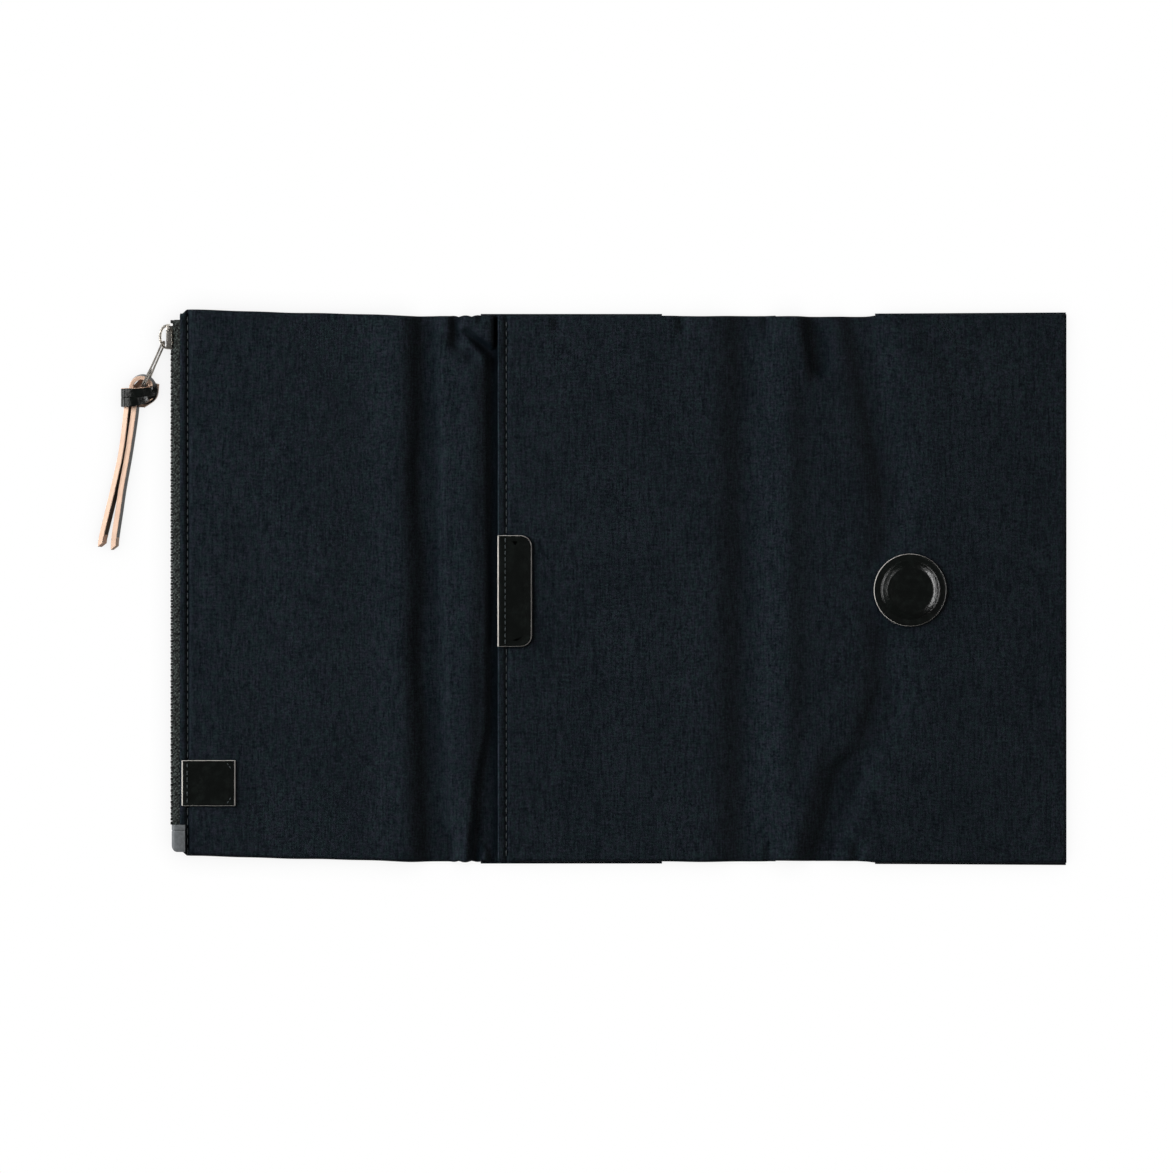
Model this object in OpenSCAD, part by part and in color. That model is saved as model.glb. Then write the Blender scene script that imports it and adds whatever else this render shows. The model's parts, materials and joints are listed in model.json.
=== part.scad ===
// Fabric wrap cover for a slim notebook, laid open with its outer side up.
// From right to left: padded front cover with a magnetic button, soft spine, back cover with a slip
// pocket, soft gusset, and a zip pouch that folds over as the closing flap.
// X runs along the open cover, Y along the spine and Z up out of the outer side. The origin is the
// middle of the back cover, on the face that lies on the table. Millimetres.

/* [Cover] */
// Height of the cover along the spine
cover_h = 218; // [190:1:240]
// Width of the back cover from crease to crease
back_w = 109; // [100:1:125]
// Width of the spine from crease to crease
spine_w = 18.4; // [12:0.2:30]
// Width of the front cover from its crease to its free edge
front_w = 107; // [96:1:108]
// How much each half of the front cover grows in height towards its free edge
front_flare = 0.6; // [0:0.1:3]
// Radius of the front cover's free corners
front_corner = 1.6; // [0.5:0.1:8]

/* [Layers] */
// Thickness of the outer cloth
fabric_t = 0.5; // [0.3:0.05:0.6]
// Thickness of the lining cloth
lining_t = 0.4; // [0.2:0.05:0.6]
// Thickness of the stiffener board
board_t = 1.4; // [0.8:0.1:3]
// Thickness of the padding under the front cover's cloth
pad_t = 0.8; // [0.7:0.1:2]
// Thickness of the seam that holds an inner sleeve off the lining
sleeve_gap = 0.3; // [0.2:0.05:0.8]
// Width of a seam allowance
seam_w = 3; // [2:0.5:6]
// How far the stiffener and the padding stay inside the edge of the cloth
board_inset = 2; // [1:0.5:5]
// Clear cloth between a layer's edge and the middle of its crease
crease_gap = 0.4; // [0.3:0.05:0.6]

/* [Sleeves and slip pocket] */
// Width of the inner sleeve on the back cover
back_sleeve_w = 72.5; // [50:0.5:90]
// Width of the inner sleeve on the front cover
front_sleeve_w = 76.3; // [50:0.5:90]
// How far a sleeve stands above the cloth in front of it, at the top and at the bottom
sleeve_rise = 0.9; // [0:0.1:2]
// Distance from the gusset crease to the mouth of the slip pocket
mouth_inset = 7.3; // [4:0.1:20]
// Width of the turned hem at the pocket's mouth
hem_w = 4.2; // [3:0.2:8]
// Length of the leather tab along the mouth
tab_l = 44.4; // [25:0.2:60]
// Width of the leather tab
tab_w = 13.6; // [9:0.2:25]
// Radius of the leather tab's two outer corners
tab_corner = 4.5; // [1:0.1:6]
// Height of the tab's middle above mid-height
tab_y = -0.9; // [-40:0.1:40]
// Thickness of the leather
leather_t = 1.2; // [0.8:0.1:1.6]

/* [Magnetic button] */
// Diameter of the leather rim
button_d = 29; // [24:0.5:36]
// Diameter of the raised dome at its foot
dome_d = 22.7; // [20:0.1:23]
// Diameter of the dome's flat top
dome_top_d = 18.1; // [17.5:0.1:19]
// Height of the dome above the cloth
dome_h = 3; // [2.9:0.1:5]
// Height of the button's middle above mid-height
button_y = -0.5; // [-30:0.1:30]
// Diameter of each magnet
magnet_d = 15; // [10:0.5:15.5]
// Thickness of each magnet
magnet_t = 1.6; // [1:0.1:1.6]
// Diameter of the backing washer
washer_d = 20; // [16.5:0.5:22]
// Thickness of the backing washer
washer_t = 0.4; // [0.3:0.05:0.45]
// Width of each prong of the button
prong_w = 3; // [2:0.2:4]
// Thickness of each prong
prong_t = 0.3; // [0.2:0.02:0.32]
// Distance from the middle to each prong
prong_r = 3; // [2.5:0.1:4]
// Gap between the closed button and the flap's disc
magnet_gap = 0.4; // [0.3:0.1:1]

/* [Zip pouch] */
// Width of the pouch from its crease to its cloth edge at the zip
flap_w = 93.6; // [84:0.2:104]
// Height of the pouch's outer cloth above the table at the zip
zip_end_h = 7; // [6.8:0.1:9]
// How far the zip end stands above the crease end, as sewn
flap_skew = 2.5; // [0:0.1:5]
// Length of the cut corners at the zip, along the crease and across it
corner_cut = 2.6; // [1:0.1:6]
// Distance from the cloth edge at the zip to the middle of the flap's magnet
mate_inset = 29; // [24:0.5:36]
// Side of the square leather label
label_w = 21.4; // [12:0.2:30]
// Height of the square leather label
label_h = 18.2; // [12:0.2:30]
// Thickness of the square leather label
label_t = 0.9; // [0.6:0.1:1.5]
// Distance from the cloth edge to the label
label_inset = 0.8; // [0.5:0.1:10]
// Distance from the flap's bottom edge up to the label
label_rise = 20; // [12:0.2:60]

/* [Zip] */
// Distance between two teeth of one row
tooth_pitch = 2.29; // [2:0.01:3]
// Thickness of a tooth along the zip
tooth_t = 1.02; // [0.7:0.01:1.02]
// Depth of the chain from its outer to its inner face
chain_d = 2.4; // [2.2:0.05:2.6]
// How far the chain's outer face stands outside the cloth edge
chain_out = 3.8; // [3.6:0.1:4.2]
// Thickness of the zip tape
tape_t = 0.4; // [0.3:0.05:0.4]
// How far the tape reaches in under the cloth
tape_in = 7.6; // [5:0.2:12]
// Width of the tape's rounded turn into the pouch
turn_r = 1.3; // [1.1:0.05:1.4]
// Distance from the flap's top edge down to the top end of the tape
tape_top = 4; // [3:0.1:10]
// Distance from the flap's bottom edge up to the bottom end of the tape
tape_bottom = 12.5; // [12:0.1:20]
// Length of the end tab along the zip
end_tab_l = 10.8; // [6:0.2:11]
// Thickness of the end tab
end_tab_t = 0.6; // [0.4:0.1:1]

/* [Slider and pull] */
// Length of the slider
slider_l = 10; // [9.4:0.1:12]
// Width of the slider
slider_w = 6.4; // [6:0.1:7]
// Thickness of the slider's outer plate
slider_t = 1.2; // [0.8:0.05:1.3]
// Running clearance between the slider and the chain
slider_gap = 0.4; // [0.3:0.05:0.5]
// Thickness of the bridge that holds the pull
bridge_t = 1; // [0.8:0.05:1.1]
// Width of the bridge
bridge_w = 1.9; // [1.4:0.1:2.2]
// Height of the opening under the bridge
bridge_open = 2.2; // [2.1:0.05:3]
// Diameter of the pull's wire
wire_d = 1; // [0.7:0.05:1.1]
// Width of the wire loop from axis to axis
loop_w = 4.6; // [4.4:0.1:5.2]
// Length of the wire loop from axis to axis
loop_l = 20; // [16:0.1:30]
// Angle between the hanging loop and the zip
loop_lean = 24; // [20:1:60]

/* [Leather lace] */
// Width of the lace
lace_w = 3; // [2:0.1:3.2]
// Thickness of the lace
lace_t = 1.6; // [1:0.1:1.8]
// Outer radius of the lace's ring round the wire
ring_r = 5.4; // [4.2:0.1:6]
// Length of the band across the knot
band_l = 10.8; // [9:0.2:14]
// Height of the band, two passes of the lace side by side
band_h = 6.8; // [5:0.2:9]
// Depth of the crease between the band's two passes
band_crease = 0.4; // [0.2:0.05:0.6]
// Length of the longer tail from the band
tail_l = 57.5; // [30:0.5:90]
// Difference between the lengths of the two tails
tail_step = 1; // [0:0.5:6]
// Distance between the tails where they leave the band
tail_gap = 3.6; // [3.5:0.1:5]
// Slant of the tails from the zip's direction
tail_lean = 9.6; // [0:0.2:20]

/* [Hidden] */
$fn = 64;

// Colours
cloth = [0.075, 0.085, 0.115];
lining_cloth = [0.13, 0.13, 0.14];
board_grey = [0.55, 0.55, 0.52];
foam = [0.35, 0.36, 0.38];
black_leather = [0.05, 0.05, 0.05];
natural_leather = [0.86, 0.68, 0.56];
nickel = [0.78, 0.74, 0.68];
dark_metal = [0.16, 0.16, 0.16];
steel = [0.7, 0.7, 0.72];
grey_tab = [0.32, 0.33, 0.35];

// Heights of the stack, from the table up
sleeve_top = fabric_t;
lining_z = sleeve_top + sleeve_gap;
board_z = lining_z + lining_t;
pad_z = board_z + board_t;
cloth_z = pad_z + pad_t;
cover_t = cloth_z + fabric_t;
pocket_gap = pad_t - fabric_t;
shell_z = pad_z;
shell_top = shell_z + fabric_t;

// The gusset is as deep as the closed book and the button, so that the flap lies over the button
gusset_w = spine_w + cover_t + dome_h + magnet_gap;

// Creases and free edges
half_h = cover_h / 2;
gusset_crease = -back_w / 2;
spine_crease = back_w / 2;
front_crease = spine_crease + spine_w;
front_edge = front_crease + front_w;
flap_crease = gusset_crease - gusset_w;
flap_edge = flap_crease - flap_w;
flap_start = flap_crease - crease_gap;

// The button meets the flap's magnet when everything is folded
mate_x = flap_edge + mate_inset;
button_x = front_crease + back_w - (flap_w - mate_inset);

// Slip pocket
mouth_x = gusset_crease + mouth_inset;
pocket_end = spine_crease - crease_gap;

// Zip pouch levels
inner_z = leather_t;
floor_z = inner_z + fabric_t;
floor_top = floor_z + lining_t;
slope = (zip_end_h - cover_t) / flap_w;
under_cloth = fabric_t + lining_t;

// Chain
chain_x = flap_edge - chain_out;
chain_z = (inner_z + fabric_t + zip_end_h - fabric_t) / 2;
tape_face = chain_x + chain_d / 2 - tape_t / 2;
turn_x = tape_face + turn_r;
tooth_reach = 0.9;
tooth_leg = 1.75;
tape_edge = 1;
slot_play = 0.1;
slot_in = 0.35;
tape_end = -half_h + flap_skew + tape_bottom;
tape_start = half_h + flap_skew - tape_top;
stop_l = 1.2;
stop_gap = 0.4;
slider_end = tape_start - stop_gap - stop_l - stop_gap;
slider_start = slider_end - slider_l;
first_tooth = tape_end + stop_l + stop_gap;
teeth_end = slider_start + slider_l * 0.45;
tooth_count = floor((teeth_end - first_tooth - tooth_t) / tooth_pitch);

// Slider
plate_x = chain_x - slider_gap;
plate_face = plate_x - slider_t;
lip_in = 1;
lip_z = tooth_leg + 0.25;
inner_plate_t = 0.9;
inner_plate_w = 3;
post_l = 3;
post_w = 0.8;
bridge_mid = (slider_start + slider_end) / 2;
bridge_foot = 0.1;

// The loop hangs in the bridge's lower end, and the lace's ring hangs in the loop
pin_x = plate_face - bridge_open / 2;
pin_y = bridge_mid - (slider_l / 2 - bridge_t - bridge_foot) * 0.5;
knot_x = pin_x - loop_l * sin(loop_lean);
knot_y = pin_y - loop_l * cos(loop_lean);
wire_play = 0.4;
ring_x = knot_x - 0.6;
ring_y = knot_y - 0.2;
band_top = knot_y - wire_d / 2 - wire_play;
band_reach = 2.2;
band_x = ring_x + band_reach;
band_tip = 1;
band_round = [4, 4.5];
band_play = 0.2;
tail_root = 0.5;
tail_slant = 3;
lace_roll = 45;
table_play = 0.3;
tail_z = table_play + 0.1 + (lace_w + lace_t) / 2 * sin(lace_roll);
band_z = chain_z + (lace_w + lace_t) / 2;

// Height of the pouch's outer cloth at x
function cloth_top(x) = cover_t + slope * (flap_crease - x);

// How far the pouch's edges have moved up at x
function skew(x) = flap_skew * (flap_crease - x) / flap_w;

// Points on an ellipse about c with half axes a and b, from angle a0 to a1 in n steps
function arc(c, a, b, a0, a1, n) = [
    for (i = [0 : n])
        let (t = a0 + (a1 - a0) * i / n)
        [c[0] + a * cos(t), c[1] + b * sin(t)]
];

// A flat layer from x0 to x1 with half heights h0 and h1
module layer(x0, x1, h0, h1, z0, z1) {
    translate([0, 0, z0])
        linear_extrude(z1 - z0)
            polygon([[x0, -h0], [x1, -h1], [x1, h1], [x0, h0]]);
}

// A frame of the seam's width along the top, the bottom and one end of a layer
module seam_frame(x0, x1, h0, h1, z0, z1, closed_x) {
    away = closed_x == x0 ? 1 : -1;
    translate([0, 0, z0])
        linear_extrude(z1 - z0)
            difference() {
                polygon([[x0, -h0], [x1, -h1], [x1, h1], [x0, h0]]);
                translate([away * seam_w, 0])
                    polygon([
                        [x0, seam_w - h0], [x1, seam_w - h1],
                        [x1, h1 - seam_w], [x0, h0 - seam_w]
                    ]);
            }
}

// The front cover's outline with its two rounded free corners
module front_plan(x0, inset, rise) {
    x1 = front_edge - inset;
    h0 = half_h - inset + rise;
    h1 = half_h + front_flare - inset + rise;
    r = front_corner;
    polygon(concat(
        [[x0, -h0]],
        arc([x1 - r, r - h1], r, r, 270, 360, 5),
        arc([x1 - r, h1 - r], r, r, 0, 90, 5),
        [[x0, h0]]
    ));
}

// A layer of the front cover
module front_layer(x0, inset, rise, z0, z1) {
    translate([0, 0, z0])
        linear_extrude(z1 - z0)
            front_plan(x0, inset, rise);
}

// The zip pouch's outline, skewed, with its corners cut at the zip
module flap_plan(x0, x1, inset) {
    h = half_h - inset;
    polygon([
        [x1, skew(x1) - h],
        [x1, skew(x1) + h],
        [x0 + corner_cut, skew(x0) + h],
        [x0, skew(x0) + h - corner_cut],
        [x0, skew(x0) - h + corner_cut],
        [x0 + corner_cut, skew(x0) - h]
    ]);
}

// A slice of the pouch that follows the slope of its outer cloth, d0 to d1 below the cloth's top
module sloped(x0, x1, d0, d1) {
    rotate([90, 0, 0])
        linear_extrude(2 * cover_h, center = true)
            polygon([
                [x0, cloth_top(x0) - d1], [x1, cloth_top(x1) - d1],
                [x1, cloth_top(x1) - d0], [x0, cloth_top(x0) - d0]
            ]);
}

// A sloped layer of the pouch
module sloped_layer(x0, x1, inset, d0, d1) {
    intersection() {
        sloped(x0, x1, d0, d1);
        linear_extrude(2 * zip_end_h)
            flap_plan(x0, x1, inset);
    }
}

// A profile drawn in X and Z, run along the zip from y0 to y1
module run(y0, y1) {
    translate([0, y1, 0])
        rotate([90, 0, 0])
            linear_extrude(y1 - y0)
                children();
}

// A shape drawn in Y and Z, run across the zip from x0 to x1
module across(x0, x1) {
    translate([x0, 0, 0])
        rotate([90, 0, 90])
            linear_extrude(x1 - x0)
                children();
}

// Back cover ---------------------------------------------------------------------------------

// Inner sleeve that takes the notebook's back board
module back_sleeve() {
    x0 = gusset_crease + crease_gap;
    x1 = x0 + back_sleeve_w;
    h = half_h + sleeve_rise;
    color(cloth) {
        layer(x0, x1, h, h, 0, sleeve_top);
        seam_frame(x0, x1, h, h, sleeve_top, lining_z, x0);
    }
}

module back_lining() {
    color(lining_cloth)
        layer(gusset_crease + crease_gap, pocket_end, half_h, half_h, lining_z, board_z);
}

module back_board() {
    x0 = gusset_crease + crease_gap + board_inset;
    h = half_h - board_inset;
    color(board_grey)
        layer(x0, pocket_end - board_inset, h, h, board_z, pad_z);
}

module back_shell() {
    color(cloth)
        layer(gusset_crease + crease_gap, pocket_end, half_h, half_h, shell_z, shell_top);
}

// Outer slip pocket, open at its left edge
module slip_pocket() {
    color(cloth) {
        layer(mouth_x, pocket_end, half_h, half_h, shell_top + pocket_gap, cover_t);
        seam_frame(mouth_x, pocket_end, half_h, half_h, shell_top, shell_top + pocket_gap, pocket_end);
    }
}

// Turned hem under the pocket's mouth
module pocket_hem() {
    h = half_h - seam_w;
    color(cloth)
        layer(mouth_x, mouth_x + hem_w, h, h, shell_top + pocket_gap / 2, shell_top + pocket_gap);
}

// Leather tab on the pocket's mouth: square at the mouth and rounded on the cover
module pocket_tab() {
    x0 = mouth_x;
    x1 = x0 + tab_w;
    h = tab_l / 2;
    r = tab_corner;
    color(black_leather)
        translate([0, tab_y, cover_t])
            linear_extrude(leather_t)
                polygon(concat(
                    [[x0, -h]],
                    arc([x1 - r, r - h], r, r, 270, 360, 8),
                    arc([x1 - r, h - r], r, r, 0, 90, 8),
                    [[x0, h]]
                ));
}

// Spine and gusset ---------------------------------------------------------------------------

// A soft strip between two creases: lining, padding or outer cloth
module soft_strip(crease0, crease1, inset, z0, z1) {
    h = half_h - inset;
    layer(crease0 + crease_gap, crease1 - crease_gap, h, h, z0, z1);
}

module spine_lining() {
    color(lining_cloth)
        soft_strip(spine_crease, front_crease, 0, 0, lining_t);
}

module spine_padding() {
    color(foam)
        soft_strip(spine_crease, front_crease, board_inset, lining_t, cloth_z);
}

module spine_outer() {
    color(cloth)
        soft_strip(spine_crease, front_crease, 0, cloth_z, cover_t);
}

module gusset_lining() {
    color(lining_cloth)
        soft_strip(flap_crease, gusset_crease, 0, 0, lining_t);
}

module gusset_padding() {
    color(foam)
        soft_strip(flap_crease, gusset_crease, board_inset, lining_t, cloth_z);
}

module gusset_outer() {
    color(cloth)
        soft_strip(flap_crease, gusset_crease, 0, cloth_z, cover_t);
}

// Front cover --------------------------------------------------------------------------------

// Inner sleeve that takes the notebook's front board
module front_sleeve() {
    x0 = front_edge - front_sleeve_w;
    color(cloth) {
        front_layer(x0, 0, sleeve_rise, 0, sleeve_top);
        translate([0, 0, sleeve_top])
            linear_extrude(sleeve_gap)
                difference() {
                    front_plan(x0, 0, sleeve_rise);
                    translate([-seam_w, 0])
                        front_plan(x0, 0, sleeve_rise - seam_w);
                }
    }
}

module front_lining() {
    color(lining_cloth)
        front_layer(front_crease + crease_gap, 0, 0, lining_z, board_z);
}

module front_board() {
    color(board_grey)
        front_layer(front_crease + crease_gap + board_inset, board_inset, 0, board_z, pad_z);
}

// Padding, cut out round the button's washer
module front_padding() {
    hole_play = 0.3;
    color(foam)
        difference() {
            front_layer(front_crease + crease_gap + board_inset, board_inset, 0, pad_z, cloth_z);
            translate([button_x, button_y, pad_z - 1])
                cylinder(d = washer_d + 2 * hole_play, h = pad_t + 2);
        }
}

// The two slots that the button's prongs pass through, one each side of the middle
module prong_slots(play, z0, z1) {
    for (side = [-1, 1])
        translate([
            button_x + side * prong_r - prong_t / 2 - play,
            button_y - prong_w / 2 - play,
            z0
        ])
            cube([prong_t + 2 * play, prong_w + 2 * play, z1 - z0]);
}

module front_outer() {
    color(cloth)
        difference() {
            front_layer(front_crease + crease_gap, 0, 0, cloth_z, cover_t);
            prong_slots(0.1, cloth_z - 1, cover_t + 1);
        }
}

// Leather cover of the button: a flat rim, a dome and the room for the magnet
module button_cover() {
    dish = 0.2;
    wall = dome_h - magnet_t - 0.2;
    room_r = magnet_d / 2 + 0.2;
    color(black_leather)
        translate([button_x, button_y, cover_t])
            rotate_extrude()
                polygon([
                    [room_r, 0],
                    [button_d / 2 - 0.2, 0],
                    [button_d / 2, 0.2],
                    [button_d / 2, leather_t - 0.2],
                    [button_d / 2 - 0.2, leather_t],
                    [dome_d / 2, leather_t],
                    [dome_top_d / 2 + 0.5, dome_h - 0.5],
                    [dome_top_d / 2, dome_h - 0.1],
                    [dome_top_d / 2 - 1.5, dome_h],
                    [dome_top_d / 2 - 3, dome_h - dish],
                    [0, dome_h - dish],
                    [0, dome_h - wall],
                    [room_r, dome_h - wall]
                ]);
}

// Magnet with two prongs that go through the cloth and the washer and are bent outwards
module button_magnet() {
    prong_end = cloth_z - washer_t - prong_t;
    bend_l = 3.5;
    color(steel) {
        translate([button_x, button_y, cover_t])
            cylinder(d = magnet_d, h = magnet_t);
        prong_slots(0, prong_end, cover_t);
        for (side = [-1, 1])
            translate([
                button_x + side * (prong_r + bend_l / 2) - bend_l / 2 - prong_t / 2 * side,
                button_y - prong_w / 2,
                prong_end
            ])
                cube([bend_l, prong_w, prong_t]);
    }
}

module button_washer() {
    color(steel)
        difference() {
            translate([button_x, button_y, cloth_z - washer_t])
                cylinder(d = washer_d, h = washer_t);
            prong_slots(0.1, cloth_z - 2 * washer_t, cloth_z + 1);
        }
}

// Zip pouch ----------------------------------------------------------------------------------

module flap_inner_panel() {
    color(cloth)
        translate([0, 0, inner_z])
            linear_extrude(fabric_t)
                flap_plan(flap_edge, flap_start, 0);
}

module flap_outer_panel() {
    color(cloth)
        sloped_layer(flap_edge, flap_start, 0, 0, fabric_t);
}

// Back lining of the pouch, raised in a round pocket over the magnet
module pouch_lining_back() {
    pocket_r = magnet_d / 2 + 0.3;
    color(lining_cloth) {
        translate([0, 0, floor_z])
            linear_extrude(lining_t)
                difference() {
                    flap_plan(flap_edge + tape_in + 0.2, flap_start, 1);
                    translate([mate_x, button_y])
                        circle(r = pocket_r);
                }
        translate([mate_x, button_y, floor_z])
            rotate_extrude()
                polygon([
                    [pocket_r, 0],
                    [pocket_r + lining_t, 0],
                    [pocket_r + lining_t, magnet_t],
                    [pocket_r, magnet_t + lining_t],
                    [0, magnet_t + lining_t],
                    [0, magnet_t],
                    [pocket_r, magnet_t]
                ]);
    }
}

module pouch_lining_front() {
    color(lining_cloth)
        sloped_layer(flap_edge + tape_in + 0.2, flap_start, 1, fabric_t, under_cloth);
}

// Seam allowance round three sides of the pouch, between its two linings
module pouch_seam() {
    x0 = flap_edge + tape_in + 0.2;
    color(lining_cloth)
        intersection() {
            sloped(x0, flap_start, under_cloth, 2 * zip_end_h);
            translate([0, 0, floor_top])
                linear_extrude(zip_end_h)
                    difference() {
                        flap_plan(x0, flap_start, 1);
                        translate([-seam_w, 0])
                            flap_plan(x0 - seam_w, flap_start, 1 + seam_w);
                    }
        }
}

module flap_magnet() {
    color(steel)
        translate([mate_x, button_y, floor_z])
            cylinder(d = magnet_d, h = magnet_t);
}

// Flat leather disc on the flap's inner side, which meets the button
module flap_magnet_cover() {
    edge = 0.2;
    color(black_leather)
        translate([mate_x, button_y, 0])
            rotate_extrude()
                polygon([
                    [0, 0], [button_d / 2 - edge, 0], [button_d / 2, edge],
                    [button_d / 2, leather_t - edge], [button_d / 2 - edge, leather_t], [0, leather_t]
                ]);
}

module square_label() {
    x0 = flap_edge + label_inset;
    y0 = -half_h + flap_skew + label_rise;
    color(black_leather)
        run(y0, y0 + label_h)
            polygon([
                [x0, cloth_top(x0)], [x0 + label_w, cloth_top(x0 + label_w)],
                [x0 + label_w, cloth_top(x0 + label_w) + label_t], [x0, cloth_top(x0) + label_t]
            ]);
}

// Zip ----------------------------------------------------------------------------------------

// Profile of the front tape: under the cloth, round the turn and down into the teeth
module tape_profile() {
    turn_z = zip_end_h - fabric_t - turn_r;
    x1 = flap_edge + tape_in;
    inner_r = turn_r - tape_t;
    polygon(concat(
        [[x1, cloth_top(x1) - fabric_t - tape_t], [x1, cloth_top(x1) - fabric_t]],
        [[flap_edge, zip_end_h - fabric_t]],
        arc([turn_x, turn_z], turn_r, turn_r, 90, 180, 6),
        [[tape_face, chain_z + tape_edge], [tape_face + tape_t, chain_z + tape_edge]],
        arc([turn_x, turn_z], inner_r, inner_r, 180, 90, 6),
        [[flap_edge, zip_end_h - fabric_t - tape_t]]
    ));
}

module zip_tape_front() {
    color(cloth)
        run(tape_end, tape_start)
            tape_profile();
}

// Profile of the back tape, which lies flat on the inner panel
module back_tape_profile() {
    turn_z = floor_z + turn_r;
    x1 = flap_edge + tape_in;
    inner_r = turn_r - tape_t;
    polygon(concat(
        [[x1, floor_z + tape_t], [x1, floor_z]],
        arc([turn_x, turn_z], turn_r, turn_r, 270, 180, 6),
        [[tape_face, chain_z - tape_edge], [tape_face + tape_t, chain_z - tape_edge]],
        arc([turn_x, turn_z], inner_r, inner_r, 180, 270, 6)
    ));
}

module zip_tape_back() {
    color(cloth)
        run(tape_end, tape_start)
            back_tape_profile();
}

// Outline of a tooth in X and Z: a head that reaches past the middle, and two legs round the tape.
// up is 1 for the front row and -1 for the back row.
module tooth_profile(up, reach) {
    x0 = chain_x;
    x1 = chain_x + chain_d;
    nose = 0.4;
    slot_z = tape_edge - slot_play;
    points = [
        [x0 + nose, -reach], [x1 - nose, -reach], [x1, nose - reach], [x1, tooth_leg],
        [tape_face + tape_t + slot_in, tooth_leg], [tape_face + tape_t + slot_in, slot_z],
        [tape_face - slot_play, slot_z], [tape_face - slot_play, tooth_leg],
        [x0, tooth_leg], [x0, nose - reach]
    ];
    polygon([for (p = points) [p[0], chain_z + up * p[1]]]);
}

// A row of teeth, each clamped on the edge of its tape
module tooth_row(up, shift) {
    for (i = [0 : tooth_count - 1])
        let (y = first_tooth + shift + i * tooth_pitch)
        run(y, y + tooth_t)
            tooth_profile(up, tooth_reach);
}

module zip_teeth_front() {
    color(dark_metal)
        tooth_row(1, 0);
}

module zip_teeth_back() {
    color(dark_metal)
        tooth_row(-1, tooth_pitch / 2);
}

// A stop at the top of each tape
module zip_top_stops() {
    y0 = slider_end + stop_gap;
    color(dark_metal)
        for (up = [-1, 1])
            run(y0, y0 + stop_l)
                tooth_profile(up, -0.15);
}

// One stop across both tapes at the bottom
module zip_bottom_stop() {
    x1 = chain_x + chain_d;
    slot0 = tape_face - slot_play;
    slot1 = tape_face + tape_t + slot_in;
    slot_z = tape_edge - slot_play;
    points = [
        [chain_x, tooth_leg], [slot0, tooth_leg], [slot0, slot_z],
        [slot1, slot_z], [slot1, tooth_leg], [x1, tooth_leg],
        [x1, -tooth_leg], [slot1, -tooth_leg], [slot1, -slot_z],
        [slot0, -slot_z], [slot0, -tooth_leg], [chain_x, -tooth_leg]
    ];
    color(dark_metal)
        run(tape_end, tape_end + stop_l)
            translate([0, chain_z])
                polygon(points);
}

// Tab folded over the bottom end of the zip and sewn on the cloth
module zip_end_tab() {
    x0 = chain_x + 0.5;
    x1 = flap_edge + 2.2;
    z0 = inner_z + fabric_t;
    bevel = 1.2;
    corner = 2.5;
    color(grey_tab)
        intersection() {
            run(tape_end - end_tab_l, tape_end)
                polygon([
                    [flap_edge - 0.1, z0],
                    [x0 + bevel, z0],
                    [x0, z0 + bevel],
                    [x0, zip_end_h - bevel],
                    [x0 + bevel, zip_end_h + end_tab_t],
                    [x1, cloth_top(x1) + end_tab_t],
                    [x1, cloth_top(x1)],
                    [flap_edge - 0.1, cloth_top(flap_edge - 0.1)]
                ]);
            linear_extrude(3 * zip_end_h)
                polygon(concat(
                    arc([x0 + corner, tape_end - end_tab_l + corner], corner, corner, 180, 270, 6),
                    [[x1, tape_end - end_tab_l], [x1, tape_end], [x0, tape_end]]
                ));
        }
}

// Slider: an outer plate with two lips, a small inner plate behind the chain, and the post between
module slider_body() {
    w = slider_w / 2;
    inner_x = chain_x + chain_d + slider_gap - 0.1;
    post_y = slider_end - post_l - 0.6;
    color(nickel)
        union() {
            across(plate_face, plate_x)
                translate([0, chain_z])
                    polygon([
                        [slider_start, -w * 0.75], [slider_start + 1, -w * 0.85],
                        [slider_end - 3, -w], [slider_end - 1, -w * 0.9],
                        [slider_end, -w * 0.5], [slider_end, w * 0.5],
                        [slider_end - 1, w * 0.9], [slider_end - 3, w],
                        [slider_start + 1, w * 0.85], [slider_start, w * 0.75]
                    ]);
            for (up = [-1, 1])
                across(plate_x, plate_x + lip_in)
                    translate([0, chain_z])
                        polygon([
                            [slider_start, up * w * 0.75], [slider_start + 1, up * w * 0.85],
                            [slider_end - 3, up * w], [slider_end - 3, up * lip_z],
                            [slider_start, up * lip_z]
                        ]);
            across(plate_x, inner_x + inner_plate_t)
                translate([0, chain_z])
                    polygon([
                        [post_y, 0], [post_y + post_l * 0.6, -post_w / 2],
                        [post_y + post_l, 0], [post_y + post_l * 0.6, post_w / 2]
                    ]);
            across(inner_x, inner_x + inner_plate_t)
                translate([0, chain_z])
                    polygon([
                        [slider_start, -inner_plate_w / 2 * 0.7], [slider_end - 2, -inner_plate_w / 2],
                        [slider_end, -inner_plate_w / 4], [slider_end, inner_plate_w / 4],
                        [slider_end - 2, inner_plate_w / 2], [slider_start, inner_plate_w / 2 * 0.7]
                    ]);
        }
}

// Bridge over the outer plate that carries the pull
module slider_bridge() {
    half_l = slider_l / 2 - bridge_foot;
    mid = [plate_face, bridge_mid];
    color(nickel)
        translate([0, 0, chain_z - bridge_w / 2])
            linear_extrude(bridge_w)
                polygon(concat(
                    arc(mid, bridge_open + bridge_t, half_l, 90, 270, 16),
                    arc(mid, bridge_open, half_l - bridge_t, 270, 90, 16)
                ));
}

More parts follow.
